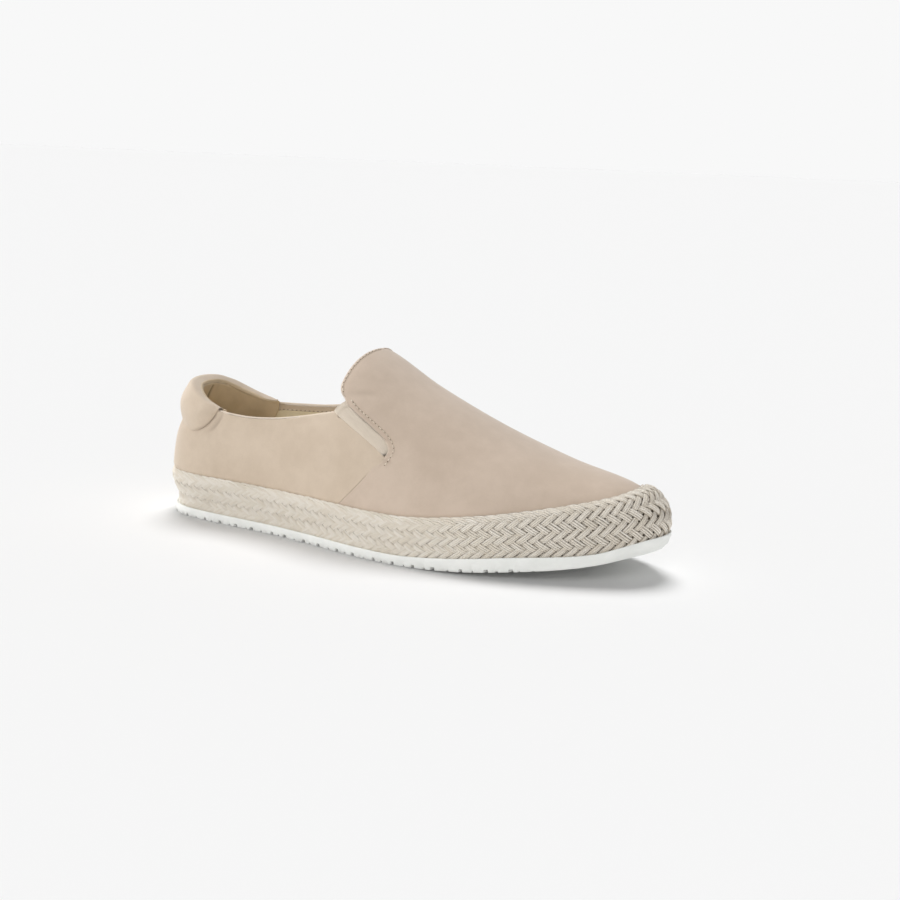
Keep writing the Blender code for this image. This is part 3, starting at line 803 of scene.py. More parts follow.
twill, shader, position = new_finish("olive twill", 0.9, sheen=0.25)
lengthways, sideways, upward = (position.axis(number) for number in (0, 1, 2))
slant = sideways + upward * 0.8
weave = ((lengthways + slant) * TWILL_WAVES).sine() * ((lengthways - slant) * TWILL_WAVES).sine()
yarn = position.noise(2200.0, 2.0)
patch = position.noise(45.0, 3.0, 0.55)
worn = (patch * 0.6 + yarn * 0.4).between(0.25, 0.75)
colour = worn.mix(shade(0.78, 0.67, 0.46), shade(0.91, 0.81, 0.60))
paint(shader, colour, 0.86 + 0.1 * yarn, weave * 0.5 + yarn, 0.00008)

sock_rings = [ring_at(-SOCK_INSET - inset, FEATHER + height) for inset, height in (
    (0.0006, 0.0), (0.0, 0.0008), (0.0002, SOCK_THICKNESS - 0.0008), (0.0010, SOCK_THICKNESS))]
sock_points = np.concatenate(sock_rings, axis=1).reshape(-1, 3)
sock = shoe_mesh("sock", sock_points, slab_faces(FLOOR_COLUMNS, len(sock_rings)), twill, 0.7)
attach(sock, "root")
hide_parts("insole")

# ---------------------------------------------------------------- vamp and tongue
# Beige nubuck in one piece from the side seams to the toe, its tongue's edge folded back and sewn.
# A row of thread runs down beside each elastic and hooks round its end.

PANEL = 0.0012                  # thickness of the nubuck
FOLDED = 0.0019                 # and where its edge is turned in
SEAM_GAP = 0.0001
SEAM_BITE = 0.00017             # the panels press into each other along the side seam
SEAM_PULL = 0.0010              # and by this much more where it is drawn tight
FOLD_DEEP = 0.0042              # how far in from the edge the fold reaches
FOLD_STEP = 0.0008              # and the width of the step where it ends
NO_EDGE = 0.01                  # distance from a pale, worn edge where there is none
SEAM_TIGHT = 0.041              # the side seam is drawn tight and shows no line above this height
SIDE_SEAM = ((0.1190, 0.0122), (0.1311, 0.0235), (0.1356, 0.0276), (0.1401, 0.0318), (0.1462, 0.0382),
             (0.1511, 0.0443), (0.1572, 0.0522))
VAMP_SLOT_EDGE = ((0.1582, 0.0552), (0.1560, 0.0584), (0.1527, 0.0610), (0.1466, 0.0649), (0.1404, 0.0687),
                  (0.1356, 0.0716), (0.1306, 0.0752))
TONGUE_CORNER = ((0.1285, 0.0777), (0.1257, 0.0799), (0.1241, 0.0822), (0.1234, 0.0845))
TONGUE_MIDDLE = 0.1245          # station of the tongue's edge on top of the instep
NEAR_EDGE = np.array([0.0, 1.1, 1.6, 2.1, 2.6, 3.1, 3.7, 4.5, 5.5, 6.7, 8.0]) * 0.001
VAMP_ROWS = 104                 # from the sole to the middle of the instep
VAMP_COLUMNS = 78
BORDER_POINTS = 400             # along a panel's edge, up the side seam and the slot
SEAM_POINTS = 240               # the first of these lie on the side seam
MIDDLE_LAP = 0.004              # creases are pressed in this far past the middle of the shoe

Crease = namedtuple("Crease", "places depth width")
SLOT_CREASE = Crease(
    ((0.1535, 0.0522), (0.1560, 0.0510), (0.1585, 0.0502), (0.1640, 0.0498)), 0.00042, 0.0011)
TONGUE_DENT = Crease(
    ((0.1285, 0.0800), (0.1337, 0.0808), (0.1390, 0.0812), (0.1450, 0.0800)), 0.00050, 0.0024)
BELOW_STITCHES = Crease(
    ((0.1345, 0.0775), (0.1420, 0.0742), (0.1520, 0.0690), (0.1600, 0.0620)), 0.00022, 0.0030)
FLEX_HIGH = Crease(((0.2020, 0.0500), (0.1960, 0.0420), (0.1930, 0.0330)), 0.00020, 0.0055)
FLEX_LOW = Crease(((0.1800, 0.0440), (0.1760, 0.0360), (0.1740, 0.0270)), 0.00016, 0.0060)


def marked(side, places, count=240):
    """A smooth line through (station, height) places on one side of the last, as turns and climbs."""
    places = np.array(places)
    lengths = arc_lengths(places)
    at = np.linspace(0.0, lengths[-1], count)
    turns = side * turn_of(follow(lengths, places[:, 0], at))
    return turns, climb_to(turns, follow(lengths, places[:, 1], at)[:, None])[:, 0]


def near_line(points, line):
    """Each point's distance to a line of points, and its place along the line from 0 to 1."""
    found, place = np.empty(len(points)), np.empty(len(points))
    for start in range(0, len(points), 4000):
        gaps = np.linalg.norm(points[start:start + 4000, None] - line[None], axis=-1)
        nearest = gaps.argmin(axis=1)
        found[start:start + 4000] = gaps[np.arange(len(nearest)), nearest]
        place[start:start + 4000] = nearest / (len(line) - 1)
    return found, place


def pressed(points, side, crease):
    """How deep a soft crease presses each point in; it fades out at its ends."""
    distance, place = near_line(points, last_point(*marked(side, crease.places)))
    fade = np.sqrt(np.sin(pi * np.clip(place, 0.02, 0.98)))
    return crease.depth * np.exp(-(distance / crease.width)**2) * fade


def pressed_on(points, side, crease):
    """The same, on one side of the shoe only."""
    on_side = side * points[:, 1] < MIDDLE_LAP
    depth = np.zeros(len(points))
    depth[on_side] = pressed(points[on_side], side, crease)
    return depth


def drawn_tight(heights):
    """How firmly the panels are pulled together along the side seam."""
    return ease((heights - SEAM_TIGHT) / 0.006)


def seam_tint(heights):
    """How much painted shade darkens the line of the side seam."""
    return 1.0 - ease((heights - SEAM_TIGHT) / 0.008)


def spaced(lengths, steepness, count):
    """Distances along each row: close together by its edge, then even to its end."""
    near = NEAR_EDGE[None, :] / steepness[:, None]
    rest = np.linspace(0.0, 1.0, count - len(NEAR_EDGE) + 1)[1:]
    gentle = rest * (0.55 + 0.45 * rest)
    return np.concatenate([near, near[:, -1:] + (lengths[:, None] - near[:, -1:]) * gentle], axis=1)


def rows_from(starts, ends, count, climb_at):
    """Rows over the last from one edge to another, as turns and climbs, spaced by distance."""
    share = np.linspace(0.0, 1.0, 401)
    turns = starts[:, None] + (ends - starts)[:, None] * share
    climbs = climb_at(turns, share)
    points = last_point(turns, climbs)
    lengths = np.concatenate([np.zeros((len(starts), 1)), np.cumsum(
        np.linalg.norm(np.diff(points, axis=1), axis=-1), axis=1)], axis=1)
    edge_way = unit(np.gradient(points[:, 0], axis=0))
    row_way = unit(points[:, 4] - points[:, 0])
    steepness = np.clip(np.linalg.norm(np.cross(edge_way, row_way), axis=-1), 0.3, 1.0)
    at = spaced(lengths[:, -1], steepness, count)
    pick = np.stack([np.interp(row, length, share) for row, length in zip(at, lengths)])
    turns = starts[:, None] + (ends - starts)[:, None] * pick
    return turns, climb_at(turns, pick)


def thickened(points, faces, depth, gap=0.0, rounds=4):
    """Gives a sheet its depth inwards, with its open edges rounded and held back by a gap.

    Returns the points, the faces and, for each point, the sheet's point that it came from; the
    points of the rounded edges come last."""
    corners = points[faces]
    face_normals = np.cross(corners[:, 2] - corners[:, 0], corners[:, 3] - corners[:, 1])
    normals = np.zeros_like(points)
    for k in range(4):
        np.add.at(normals, faces[:, k], face_normals)
    normals = unit(normals)
    ahead = np.roll(faces, -1, axis=1)
    sides = list(zip(faces.ravel().tolist(), ahead.ravel().tolist()))
    known = set(sides)
    open_sides = [(a, b) for a, b in sides if a != b and (b, a) not in known]
    outward = np.zeros_like(points)
    for a, b in open_sides:
        away = unit(np.cross(points[b] - points[a], normals[a] + normals[b]))
        outward[a] += away
        outward[b] += away
    outward = unit(outward)
    edge = sorted({corner for side in open_sides for corner in side})
    half = (depth / 2)[:, None]
    outer = points - outward * (half + np.reshape(gap, (-1, 1)))
    inner = outer - normals * depth[:, None]
    count = len(points)
    place = {corner: k for k, corner in enumerate(edge)}
    all_points, source = [outer, inner], [np.arange(count), np.arange(count)]
    for step in range(1, rounds):
        angle = pi * step / rounds
        bend = outer - normals * half + half * (np.cos(angle) * normals + np.sin(angle) * outward)
        all_points.append(bend[edge])
        source.append(np.array(edge))
    all_faces = [tuple(dict.fromkeys(face)) for face in faces.tolist()]
    all_faces += [tuple(corner + count for corner in reversed(face)) for face in all_faces]

    def rim(corner, step):
        if step in (0, rounds):
            return corner + (count if step else 0)
        return 2 * count + (step - 1) * len(edge) + place[corner]

    for a, b in open_sides:
        for step in range(rounds):
            all_faces.append((rim(b, step), rim(a, step), rim(a, step + 1), rim(b, step + 1)))
    return np.concatenate(all_points), all_faces, np.concatenate(source)


def grid_faces(index):
    """Quads of a grid of point numbers."""
    corners = (index[:-1, :-1], index[:-1, 1:], index[1:, 1:], index[1:, :-1])
    return np.stack(corners, axis=-1).reshape(-1, 4)


nubuck, shader, position = new_finish("beige nubuck", 0.88, sheen=0.30, sheen_roughness=0.45)
crease, edge, hide = (position.attribute(name) for name in ("crease", "edge", "hide"))
cloud = position.noise(26.0, 3.0, 0.55)
blotch = position.noise(120.0, 4.0, 0.62)
nap = position.noise(1500.0, 3.0, 0.65, stretch=(0.6, 1.0, 1.0))
grain = position.noise(5200.0, 2.0, 0.5)
body = (cloud * 0.55 + blotch * 0.30 + nap * 0.15).between(0.34, 0.66)
colour = body.mix(shade(0.564, 0.456, 0.348), shade(0.640, 0.529, 0.414))
colour = hide.mix(colour, body.mix(shade(0.541, 0.433, 0.341), shade(0.616, 0.502, 0.405)))
# Painted shade: darker in the pressed creases and dents, along the side seam's line and where the collar
# sinks into the quarters.
colour = (crease.between(0.05, 1.0) * 0.55).mix(colour, shade(0.40, 0.315, 0.24))
colour = (edge.between(0.0011, 0.0002) * (0.15 + 0.3 * blotch)).mix(colour, shade(0.74, 0.64, 0.53))
paint(shader, colour, 0.80 + 0.18 * nap, nap * 0.6 + grain * 0.4 + blotch * 0.5, 0.00012)

border_turns, border_climbs = marked(1, SIDE_SEAM + VAMP_SLOT_EDGE + TONGUE_CORNER, BORDER_POINTS)
over = np.linspace(0.0, 1.0, BORDER_POINTS // 2)[1:]
over_turns = border_turns[-1] + (turn_of(TONGUE_MIDDLE) - border_turns[-1]) * ease(over)
over_climbs = border_climbs[-1] + (1.0 - border_climbs[-1]) * over
border_turns = np.concatenate([border_turns, over_turns])
border_climbs = np.concatenate([border_climbs, over_climbs])
border_lengths = arc_lengths(last_point(border_turns, border_climbs))
share = np.linspace(0.0, 1.0, VAMP_ROWS + 1)
even = np.interp(share * border_lengths[-1], border_lengths, np.arange(len(border_lengths)))
start_turns = np.interp(even, np.arange(len(border_turns)), border_turns)
start_climbs = np.interp(even, np.arange(len(border_climbs)), border_climbs)

half_grids = []
for side in (1, -1):
    half_grids.append(rows_from(
        side * start_turns, np.full(len(share), side * pi), VAMP_COLUMNS,
        lambda turns, along: start_climbs[:, None] + (share - start_climbs)[:, None] * along))
(outer_turns, outer_climbs), (inner_turns, inner_climbs) = half_grids
turns = np.concatenate([outer_turns, inner_turns[-2::-1]])
climbs = np.concatenate([outer_climbs, inner_climbs[-2::-1]])
index = np.arange(turns.size).reshape(turns.shape)
index[VAMP_ROWS + 1:, -1] = index[VAMP_ROWS - 1::-1, -1]
points = last_point(turns, climbs).reshape(-1, 3)
normals = last_normal(turns, climbs).reshape(-1, 3)
middle_row = points.reshape(*turns.shape, 3)[:, 0]
edge_distance, edge_place = near_line(points, middle_row)
sewn = ease((np.minimum(edge_place, 1.0 - edge_place) - 0.16) / 0.02)
sunk = np.zeros(len(points))
# Painted shade: the slot crease and the tongue's dent are also darkened in colour, by their depth.
painted_crease_shade = np.zeros(len(points))
for side in (1, -1):
    for line in (SLOT_CREASE, TONGUE_DENT, BELOW_STITCHES, FLEX_HIGH, FLEX_LOW):
        depth = pressed_on(points, side, line)
        sunk += depth
        if line in (SLOT_CREASE, TONGUE_DENT):
            painted_crease_shade += depth / 0.0009
furrow = sewn * np.exp(-((edge_distance - 0.0026) / 0.0006)**2)
welt = sewn * np.exp(-((edge_distance - 0.0013) / 0.0009)**2)
points = points + normals * (0.00010 * welt - 0.00008 * furrow - sunk)[:, None]
folded = sewn * (1.0 - ease((edge_distance - FOLD_DEEP) / FOLD_STEP))
depth = PANEL + (FOLDED - PANEL) * folded
gap = SEAM_GAP - (SEAM_GAP + SEAM_BITE + SEAM_PULL * drawn_tight(points[:, 2])) * (1.0 - sewn)
sheet, faces, source = thickened(points, grid_faces(index), depth, gap)
painted_crease_shade = painted_crease_shade[source]
seam = (1.0 - sewn[source]) * seam_tint(sheet[:, 2]) * (edge_distance[source] < 0.0001)
painted_crease_shade[2 * len(points):] += seam[2 * len(points):]
vamp = shoe_mesh("vamp", sheet, faces, nubuck, values={
    "crease": painted_crease_shade, "edge": np.where(sewn > 0.5, edge_distance, NO_EDGE)[source],
    "hide": np.ones(len(sheet))})
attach(vamp, "root")
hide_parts("upper")

# ---------------------------------------------------------------- quarters
# The same nubuck, one piece round the heel with a closed seam at its back; its top edge is turned in.
# A closed seam joins it to the vamp on each side, up to the end of the elastic.

QUARTER_SLOT_EDGE = ((0.1485, 0.0581), (0.1421, 0.0619), (0.1363, 0.0651), (0.1290, 0.0691),
                     (0.1252, 0.0713))
TURNED_IN = 0.0020              # thickness of the doubled top edge
TURN_IN = 0.0048                # how far down it reaches
QUARTER_COLUMNS = 118
QUARTER_LEVELS = 64
TopEdge = namedtuple("TopEdge", "at height")
TOPLINE = (
    TopEdge(0.000, 0.0695),
    TopEdge(0.017, 0.0665),
    TopEdge(0.032, 0.0625),
    TopEdge(0.047, 0.0610),
    TopEdge(0.062, 0.0608),
    TopEdge(0.080, 0.0623),
    TopEdge(0.100, 0.0658),
    TopEdge(0.1252, 0.0713),
)
PAD_SEAM = ((0.0384, 0.0623), (0.0376, 0.0611), (0.0361, 0.0576), (0.0342, 0.0546), (0.0320, 0.0523),
            (0.0278, 0.0496), (0.0239, 0.0483), (0.0148, 0.0484), (0.0002, 0.0505))
PAD_CREASE = Crease(PAD_SEAM, 0.00080, 0.0013)
SECOND_CREASE = Crease(
    ((0.0424, 0.0606), (0.0419, 0.0590), (0.0410, 0.0561), (0.0378, 0.0511), (0.0350, 0.0490)),
    0.00095, 0.0014)
HEEL_SEAM = Crease(((0.0000, 0.0140), (0.0000, 0.0300), (0.0000, 0.0500)), 0.00055, 0.0006)
HEEL_BULGE = 0.0016             # the stiffened heel stands out over the braid
INNER_DROP = 0.0022             # how much lower the top edge runs on the inner side of the heel


def inner_drop(turns):
    """How much lower than the outer side's the top edge runs at each turn."""
    stations = station_of(turns)
    start, end = ease((stations - 0.002) / 0.018), ease((stations - 0.024) / 0.040)
    return (np.sin(turns) < 0.0) * INNER_DROP * start * (1.0 - end)


def beside_back(stations):
    """The collar's seam shows at the sides and fades out round the back: 0 there, 1 at the sides."""
    return ease((stations - 0.017) / 0.013)


def topline_climbs(turns, below=0.0):
    heights = table(TOPLINE, "height", station_of(turns)) - inner_drop(turns) - below
    return climb_to(turns, heights[:, None])[:, 0]


fall = np.concatenate([[0.0, 1.25, 1.9, 2.6, 3.3, 4.0, 4.7, 5.4, 6.2],
                       np.linspace(7.2, 52.0, QUARTER_LEVELS - 9)])
level_share = (1.0 - fall / fall[-1])[::-1]
ramp_turns = np.linspace(0.0, turn_of(0.165), 160)
border_lines, grids = [], []
for side in (1, -1):
    top_climbs = topline_climbs(side * ramp_turns)
    line_turns, line_climbs = marked(side, SIDE_SEAM + QUARTER_SLOT_EDGE, BORDER_POINTS)
    line_share = line_climbs / np.interp(np.abs(line_turns), ramp_turns, top_climbs)
    line_share[-1] = 1.0
    starts = np.interp(level_share, np.maximum.accumulate(line_share), line_turns)

    def climb_at(turns, along, top_climbs=top_climbs):
        return level_share[:, None] * np.interp(np.abs(turns), ramp_turns, top_climbs)

    border_lines.append(last_point(line_turns, line_climbs))
    grids.append(rows_from(starts, np.zeros(len(level_share)), QUARTER_COLUMNS, climb_at))
turns = np.concatenate([grids[0][0], grids[1][0][:, -2::-1]], axis=1)
climbs = np.concatenate([grids[0][1], grids[1][1][:, -2::-1]], axis=1)
points = last_point(turns, climbs).reshape(-1, 3)
normals = last_normal(turns, climbs).reshape(-1, 3)
index = np.arange(turns.size).reshape(turns.shape)[:, ::-1]
stations = station_of(turns).ravel()
heights = points[:, 2]
above_braid, below_pad = ease((heights - 0.0225) / 0.0045), ease((0.061 - heights) / 0.020)
bulge = HEEL_BULGE * below_pad * above_braid * (1.0 - ease((stations - 0.015) / 0.05))
top_row = points.reshape(*turns.shape, 3)[-1]
top_distance, _ = near_line(points, top_row)
slot_distance = np.minimum(*(near_line(points, line[SEAM_POINTS:])[0] for line in border_lines))
sunk = np.zeros(len(points))
# Painted shade: the creases and the heel seam are also darkened in colour, by their depth.
painted_crease_shade = np.zeros(len(points))
for side in (1, -1):
    for line in (SLOT_CREASE, SECOND_CREASE, HEEL_SEAM, PAD_CREASE):
        depth = pressed_on(points, side, line)
        if line is PAD_CREASE:
            depth *= 0.12 + 0.88 * beside_back(stations)
        sunk = np.maximum(sunk, depth) if line is HEEL_SEAM else sunk + depth
        painted_crease_shade += depth / 0.0011
welt = np.exp(-((top_distance - 0.0016) / 0.0012)**2)
furrow = np.exp(-((top_distance - 0.0046) / 0.0010)**2)
points = points + normals * (bulge + 0.00012 * welt - 0.00014 * furrow - sunk)[:, None]
depth = PANEL + (TURNED_IN - PANEL) * (1.0 - ease((top_distance - TURN_IN) / 0.0005))
seam_distance = np.minimum(*(near_line(points, line[:SEAM_POINTS])[0] for line in border_lines))
by_seam = (seam_distance < 0.0010) * (slot_distance > 0.0006)
gap = SEAM_GAP - (SEAM_GAP + SEAM_BITE + SEAM_PULL * drawn_tight(heights)) * by_seam
sheet, faces, source = thickened(points, grid_faces(index), depth, gap)
painted_crease_shade = painted_crease_shade[source]
seam = by_seam[source] * seam_tint(sheet[:, 2])
painted_crease_shade[2 * len(points):] += seam[2 * len(points):]
quarters = shoe_mesh("quarters", sheet, faces, nubuck, values={
    "crease": painted_crease_shade, "edge": top_distance[source]})
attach(quarters, "root")
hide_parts("upper")

# ---------------------------------------------------------------- elastics
# A tapering strip of beige elastic fills the slot on each side, sewn in behind the vamp and the quarter.
# Its top end is turned down over itself.

ELASTIC_THICKNESS = 0.0009
FLUSH = -0.00006                # depth of its face beside the panels
BEHIND = 0.00040                # and of its edges, sewn in behind them
BULGE = 0.00040                 # its middle stands this much further out
SEAM_ALLOWANCE = 0.0022
ELASTIC_LENGTHS = 90
ELASTIC_WIDTHS = 30
EDGE_POINTS = 200               # along each side of a slot
RIBS = 11.0                     # knitted ribs across the strip
RIB_HEIGHT = 0.00006
TURNED_END = 0.0028             # length of the turned top end
TURNED_HEIGHT = 0.0004          # it lies this much prouder
ABOVE_SLOT = ((0.1297, 0.0762),)    # the strip's front corner, above the slot

elastic, shader, position = new_finish("ribbed elastic", 0.85, sheen=0.35)
rib, end = position.attribute("rib"), position.attribute("end")
ribs = (rib * (2.0 * pi * RIBS)).sine()
knit = (end * 7400.0).sine() * ribs
fuzz = position.noise(1900.0, 3.0, 0.6)
ribbed = (ribs * 0.25 + 0.5 + (fuzz - 0.5) * 0.6).between(0.1, 0.9)
colour = ribbed.mix(shade(0.69, 0.59, 0.475), shade(0.78, 0.68, 0.56))
paint(shader, colour, 0.78 + 0.18 * fuzz, ribs * 0.6 + knit * 0.2 + fuzz * 0.5, 0.00011)

back_edge = QUARTER_SLOT_EDGE[::-1] + SIDE_SEAM[-1:]
front_edge = ABOVE_SLOT + VAMP_SLOT_EDGE[::-1] + SIDE_SEAM[-1:]
knots = np.arange(EDGE_POINTS)
pick = np.linspace(0.0, EDGE_POINTS - 4.0, ELASTIC_LENGTHS + 1)
width = np.linspace(-0.5, 0.5, ELASTIC_WIDTHS + 1)[None, :]
for side, name in ((1, "elastic_outer"), (-1, "elastic_inner")):
    (start_turns, start_climbs), (end_turns, end_climbs) = (
        [np.interp(pick, knots, values)[:, None] for values in marked(side, edge, EDGE_POINTS)]
        for edge in (back_edge, front_edge))
    starts = last_point(start_turns, start_climbs)
    gap = np.linalg.norm(last_point(end_turns, end_climbs) - starts, axis=-1)
    reach = np.clip(SEAM_ALLOWANCE / np.maximum(gap, 0.001), 0.0, 2.0)
    across = 0.5 + width * (1.0 + 2.0 * reach)
    turns = start_turns + (end_turns - start_turns) * across
    climbs = start_climbs + (end_climbs - start_climbs) * across
    place = np.clip(across, 0.0, 1.0)
    hump = np.sin(pi * place)**0.7
    ridge = RIB_HEIGHT * np.cos(2.0 * pi * RIBS * across)
    from_top = arc_lengths(starts[:, 0])[:, None] * np.ones_like(across)
    turned = 1.0 - ease((from_top - TURNED_END) / 0.0004)
    under = ease(np.abs(across - place) * gap / 0.0012)
    folded = TURNED_HEIGHT * turned * (1.0 - under)
    offset = -FLUSH - (BEHIND - FLUSH) * under + BULGE * hump + ridge + folded
    points = off_last(turns, climbs, offset).reshape(-1, 3)
    index = np.arange(turns.size).reshape(turns.shape)
    if side < 0:
        index = index[:, ::-1]
    depth = np.full(len(points), ELASTIC_THICKNESS)
    sheet, faces, source = thickened(points, grid_faces(index[::-1]), depth)
    strip = shoe_mesh(name, sheet, faces, elastic, values={
        "rib": across.ravel()[source], "end": from_top.ravel()[source]})
    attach(strip, "root")
    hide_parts("gore_lateral" if side > 0 else "gore_medial")

# ---------------------------------------------------------------- lining
# Olive twill lines the whole shoe. Its top edge is sewn to the turned-in nubuck, just below the edge of
# the shoe; under the tongue it stops short of the edge in the same way.

LINING_FACE = 0.0021            # its inner face, below the outer face of the upper
LINING_THICKNESS = 0.0006
LINING_BACK = 0.0300            # it starts in front of here, under the heel's own lining
LINING_FRONT = 0.1315           # station of its edge under the tongue
LINING_SIDE = 60                # columns from the heel's lining to the tongue's edge
LINING_FORE = 37                # and from there round half the toe
LINING_SEWN = 0.0046            # its edge lies this far below the shoe's
LiningTop = namedtuple("LiningTop", "at height")
LINING_TOP = tuple(LiningTop(edge.at, edge.height - LINING_SEWN) for edge in TOPLINE[:-1]) + (
    LiningTop(0.1230, 0.0668), LiningTop(0.1262, 0.0700), LiningTop(LINING_FRONT, 0.0745))

foot_turns = np.concatenate([np.linspace(turn_of(LINING_BACK), turn_of(LINING_FRONT), LINING_SIDE),
                             np.linspace(turn_of(LINING_FRONT), pi, LINING_FORE)[1:]])
side_share = np.linspace(0.0, 1.0, 42)
over_share = np.linspace(0.0, 1.0, 30)[1:]
points = []
index = np.full((2 * len(foot_turns) - 1, len(side_share) + len(over_share)), -1)
for side in (1, -1):
    turns = side * foot_turns
    heights = table(LINING_TOP, "height", station_of(turns)) - inner_drop(turns)
    tops = climb_to(turns, heights[:, None])[:, 0]
    tops[LINING_SIDE:] = tops[LINING_SIDE - 1]
    for i, turn in enumerate(turns):
        if side < 0 and i == len(turns) - 1:
            continue
        row = i if side > 0 else len(index) - 1 - i
        levels = side_share * tops[i]
        if i >= LINING_SIDE - 1:
            levels = np.concatenate([levels, tops[i] + (1.0 - tops[i]) * over_share])
        column_points = off_last(turn, levels, np.full(len(levels), LINING_THICKNESS - LINING_FACE))
        for j, point in enumerate(column_points):
            if j == index.shape[1] - 1 and side < 0:
                # over the middle of the instep both sides share their last points
                index[row, j] = index[i, j]
            else:
                index[row, j] = len(points)
                points.append(point)
corners = grid_faces(index.T)
corners = corners[(corners >= 0).all(axis=1)]
points = np.array(points)
sheet, faces, _ = thickened(points, corners, np.full(len(points), LINING_THICKNESS))
lining = shoe_mesh("lining", sheet, faces, twill)
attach(lining, "root")
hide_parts("upper")

# ---------------------------------------------------------------- heel collar
# A padded roll of the same nubuck round the heel's edge, thickest at the back. Outside it sinks into
# the quarters along a curved seam; inside it ends a little below the edge, in a piped seam.

LEATHER = 0.0020                # wall of the upper with its lining
PAD = 0.0031                    # thickness of the padding at the sides
PAD_FRONT = 0.0386              # station of its front ends
PAD_SKIN = 0.0009
PAD_SKIN_END = 0.0003           # its skin is pared thin at its front ends
PAD_DEEP = 0.0160               # how far the padding reaches down inside
CROWN = 0.0008                  # height of the roll over the quarters' edge at its front ends
BACK_CROWN = 0.0031             # and at the back
INNER_CROWN = 0.0016            # lower by this on the inner side
LEAST_CROWN = 0.0004
BACK_PAD = 0.0014               # more padding behind the heel
SHOULDER = 0.42                 # share of its thickness that is rounded off at its top
INSIDE_FACE = -LEATHER - GAP - 0.0006   # depth of its inner face below the upper's outer face
INSIDE_SEAM = 1.70              # share of the way over the top where the heel's lining takes over
FRONT_SEAM = 1.95               # and at the roll's front ends
PAD_COLUMNS = 130


def collar_line(turns, share):
    """The collar's outer surface as points: share 0 at its seam outside, 1 at the top edge's
    outside, 2 at its inside, 3 where the padding ends inside."""
    stations = station_of(turns)
    top_height = table(TOPLINE, "height", stations) - inner_drop(turns)
    seam_at, seam_height = np.array(PAD_SEAM[::-1]).T
    seam_height = np.minimum(follow(seam_at, seam_height, stations), top_height - 0.0002)
    found = climb_to(turns, np.stack([top_height, seam_height, top_height - PAD_DEEP], axis=1))
    edge, low, deep = found[:, 0:1], found[:, 1:2], found[:, 2:3]
    full = (0.10 + 0.90 * ease((PAD_FRONT - stations) / 0.0120))[:, None]
    back = (1.0 - ease((stations - 0.008) / 0.018))[:, None]
    crown = CROWN + (BACK_CROWN - CROWN) * (1.0 - ease((stations - 0.002) / 0.022))
    lower_crown = np.maximum(crown - INNER_CROWN * ease(stations / 0.008), LEAST_CROWN)
    crown = np.where(np.sin(turns) < 0.0, lower_crown, crown)[:, None, None]
    square = 1.0 - 0.85 * back
    swell = PAD * full + BACK_PAD * back
    turn_grid = turns[:, None] * np.ones_like(share)
    outside, inside = np.clip(share, 0.0, 1.0), np.clip(share - 2.0, 0.0, 1.0)
    round_off = ease((outside - 0.55) / 0.45) * swell * SHOULDER * square
    sink = 0.0002 + 0.0014 * back
    roll = np.sin(np.clip(outside * 1.35, 0.0, 1.0) * pi / 2)**(0.65 + 0.45 * back)
    outer = off_last(turn_grid, low + (edge - low) * outside, (GAP + swell + sink) * roll - sink - round_off)
    inner = off_last(turn_grid, edge + (deep - edge) * inside, INSIDE_FACE * np.ones_like(inside))
    up = unit(last_point(turns, edge[:, 0]) - last_point(turns, edge[:, 0] - 0.01))[:, None]
    first = off_last(turns, edge[:, 0], (GAP + swell * (1.0 - SHOULDER * square))[:, 0])[:, None]
    last = off_last(turns, edge[:, 0], np.full(len(turns), INSIDE_FACE))[:, None]
    angle = (np.clip(share - 1.0, 0.0, 1.0) * pi)[..., None]
    across = np.sign(np.cos(angle)) * np.abs(np.cos(angle))**(1.0 - 0.35 * back[..., None])
    risen = crown * np.sin(angle)**(0.85 - 0.4 * back[..., None]) * up
    over_top = (first + last) / 2 + (first - last) / 2 * across + risen
    return np.where((share <= 1.0)[..., None], outer, np.where((share < 2.0)[..., None], over_top, inner))


def inside_seam(turns):
    """The share of the collar's surface where its nubuck ends and the heel's lining begins."""
    frontward = ease((station_of(turns) - 0.020) / 0.016)[:, None]
    return INSIDE_SEAM + (FRONT_SEAM - INSIDE_SEAM) * frontward


end_turn = float(turn_of(PAD_FRONT))
turns = np.linspace(end_turn, -end_turn, PAD_COLUMNS + 1)
share = np.concatenate([np.linspace(0.0, 1.0, 22) * np.ones((len(turns), 1)),
                        1.0 + (inside_seam(turns) - 1.0) * np.linspace(0.0, 1.0, 24)[None, 1:]], axis=1)
points = collar_line(turns, share).reshape(-1, 3)
index = np.arange(len(points)).reshape(len(turns), -1)
pared = ease((PAD_FRONT - station_of(turns)) / 0.006)[:, None] * np.ones_like(share)
skin = (PAD_SKIN_END + (PAD_SKIN - PAD_SKIN_END) * pared).ravel()
sheet, faces, source = thickened(points, grid_faces(index[::-1].T[::-1]), skin)
# Painted shade along the collar's lower edge where it sinks into the quarters, fading out round the back.
painted_sink_shade = (beside_back(station_of(turns))[:, None] * ease((0.14 - share) / 0.14)).ravel()
collar = shoe_mesh("heel_collar_pad", sheet, faces, nubuck, values={
    "crease": painted_sink_shade[source], "edge": np.full(len(sheet), NO_EDGE)})
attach(collar, "root")
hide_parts("heel_collar")

# ---------------------------------------------------------------- heel lining
# Smooth khaki leather covers the inside of the heel from the piped seam down to the sock, over the
# padding, with a seam up the middle of the back and a sewn front edge.

HEEL_LINING_COLUMNS = 116
HEEL_LINING_THICKNESS = 0.0008
HEEL_LINING_FOOT = 0.0146       # height of its lower edge, on the sock
LAPPED = 2.12                   # its top edge tucks in under the collar's nubuck at the seam
BACK_SEAM_AT = 0.0022           # its back seam lies this far to the outer side
BACK_SEAM_WIDTH = 0.0013
Front = namedtuple("Front", "height at")
HEEL_LINING_FRONT = (
    Front(0.0100, 0.0345),
    Front(0.0300, 0.0352),
    Front(0.0495, 0.0372),
    Front(0.0539, 0.0394),
    Front(0.0591, 0.0416),
    Front(0.0700, 0.0420),
)

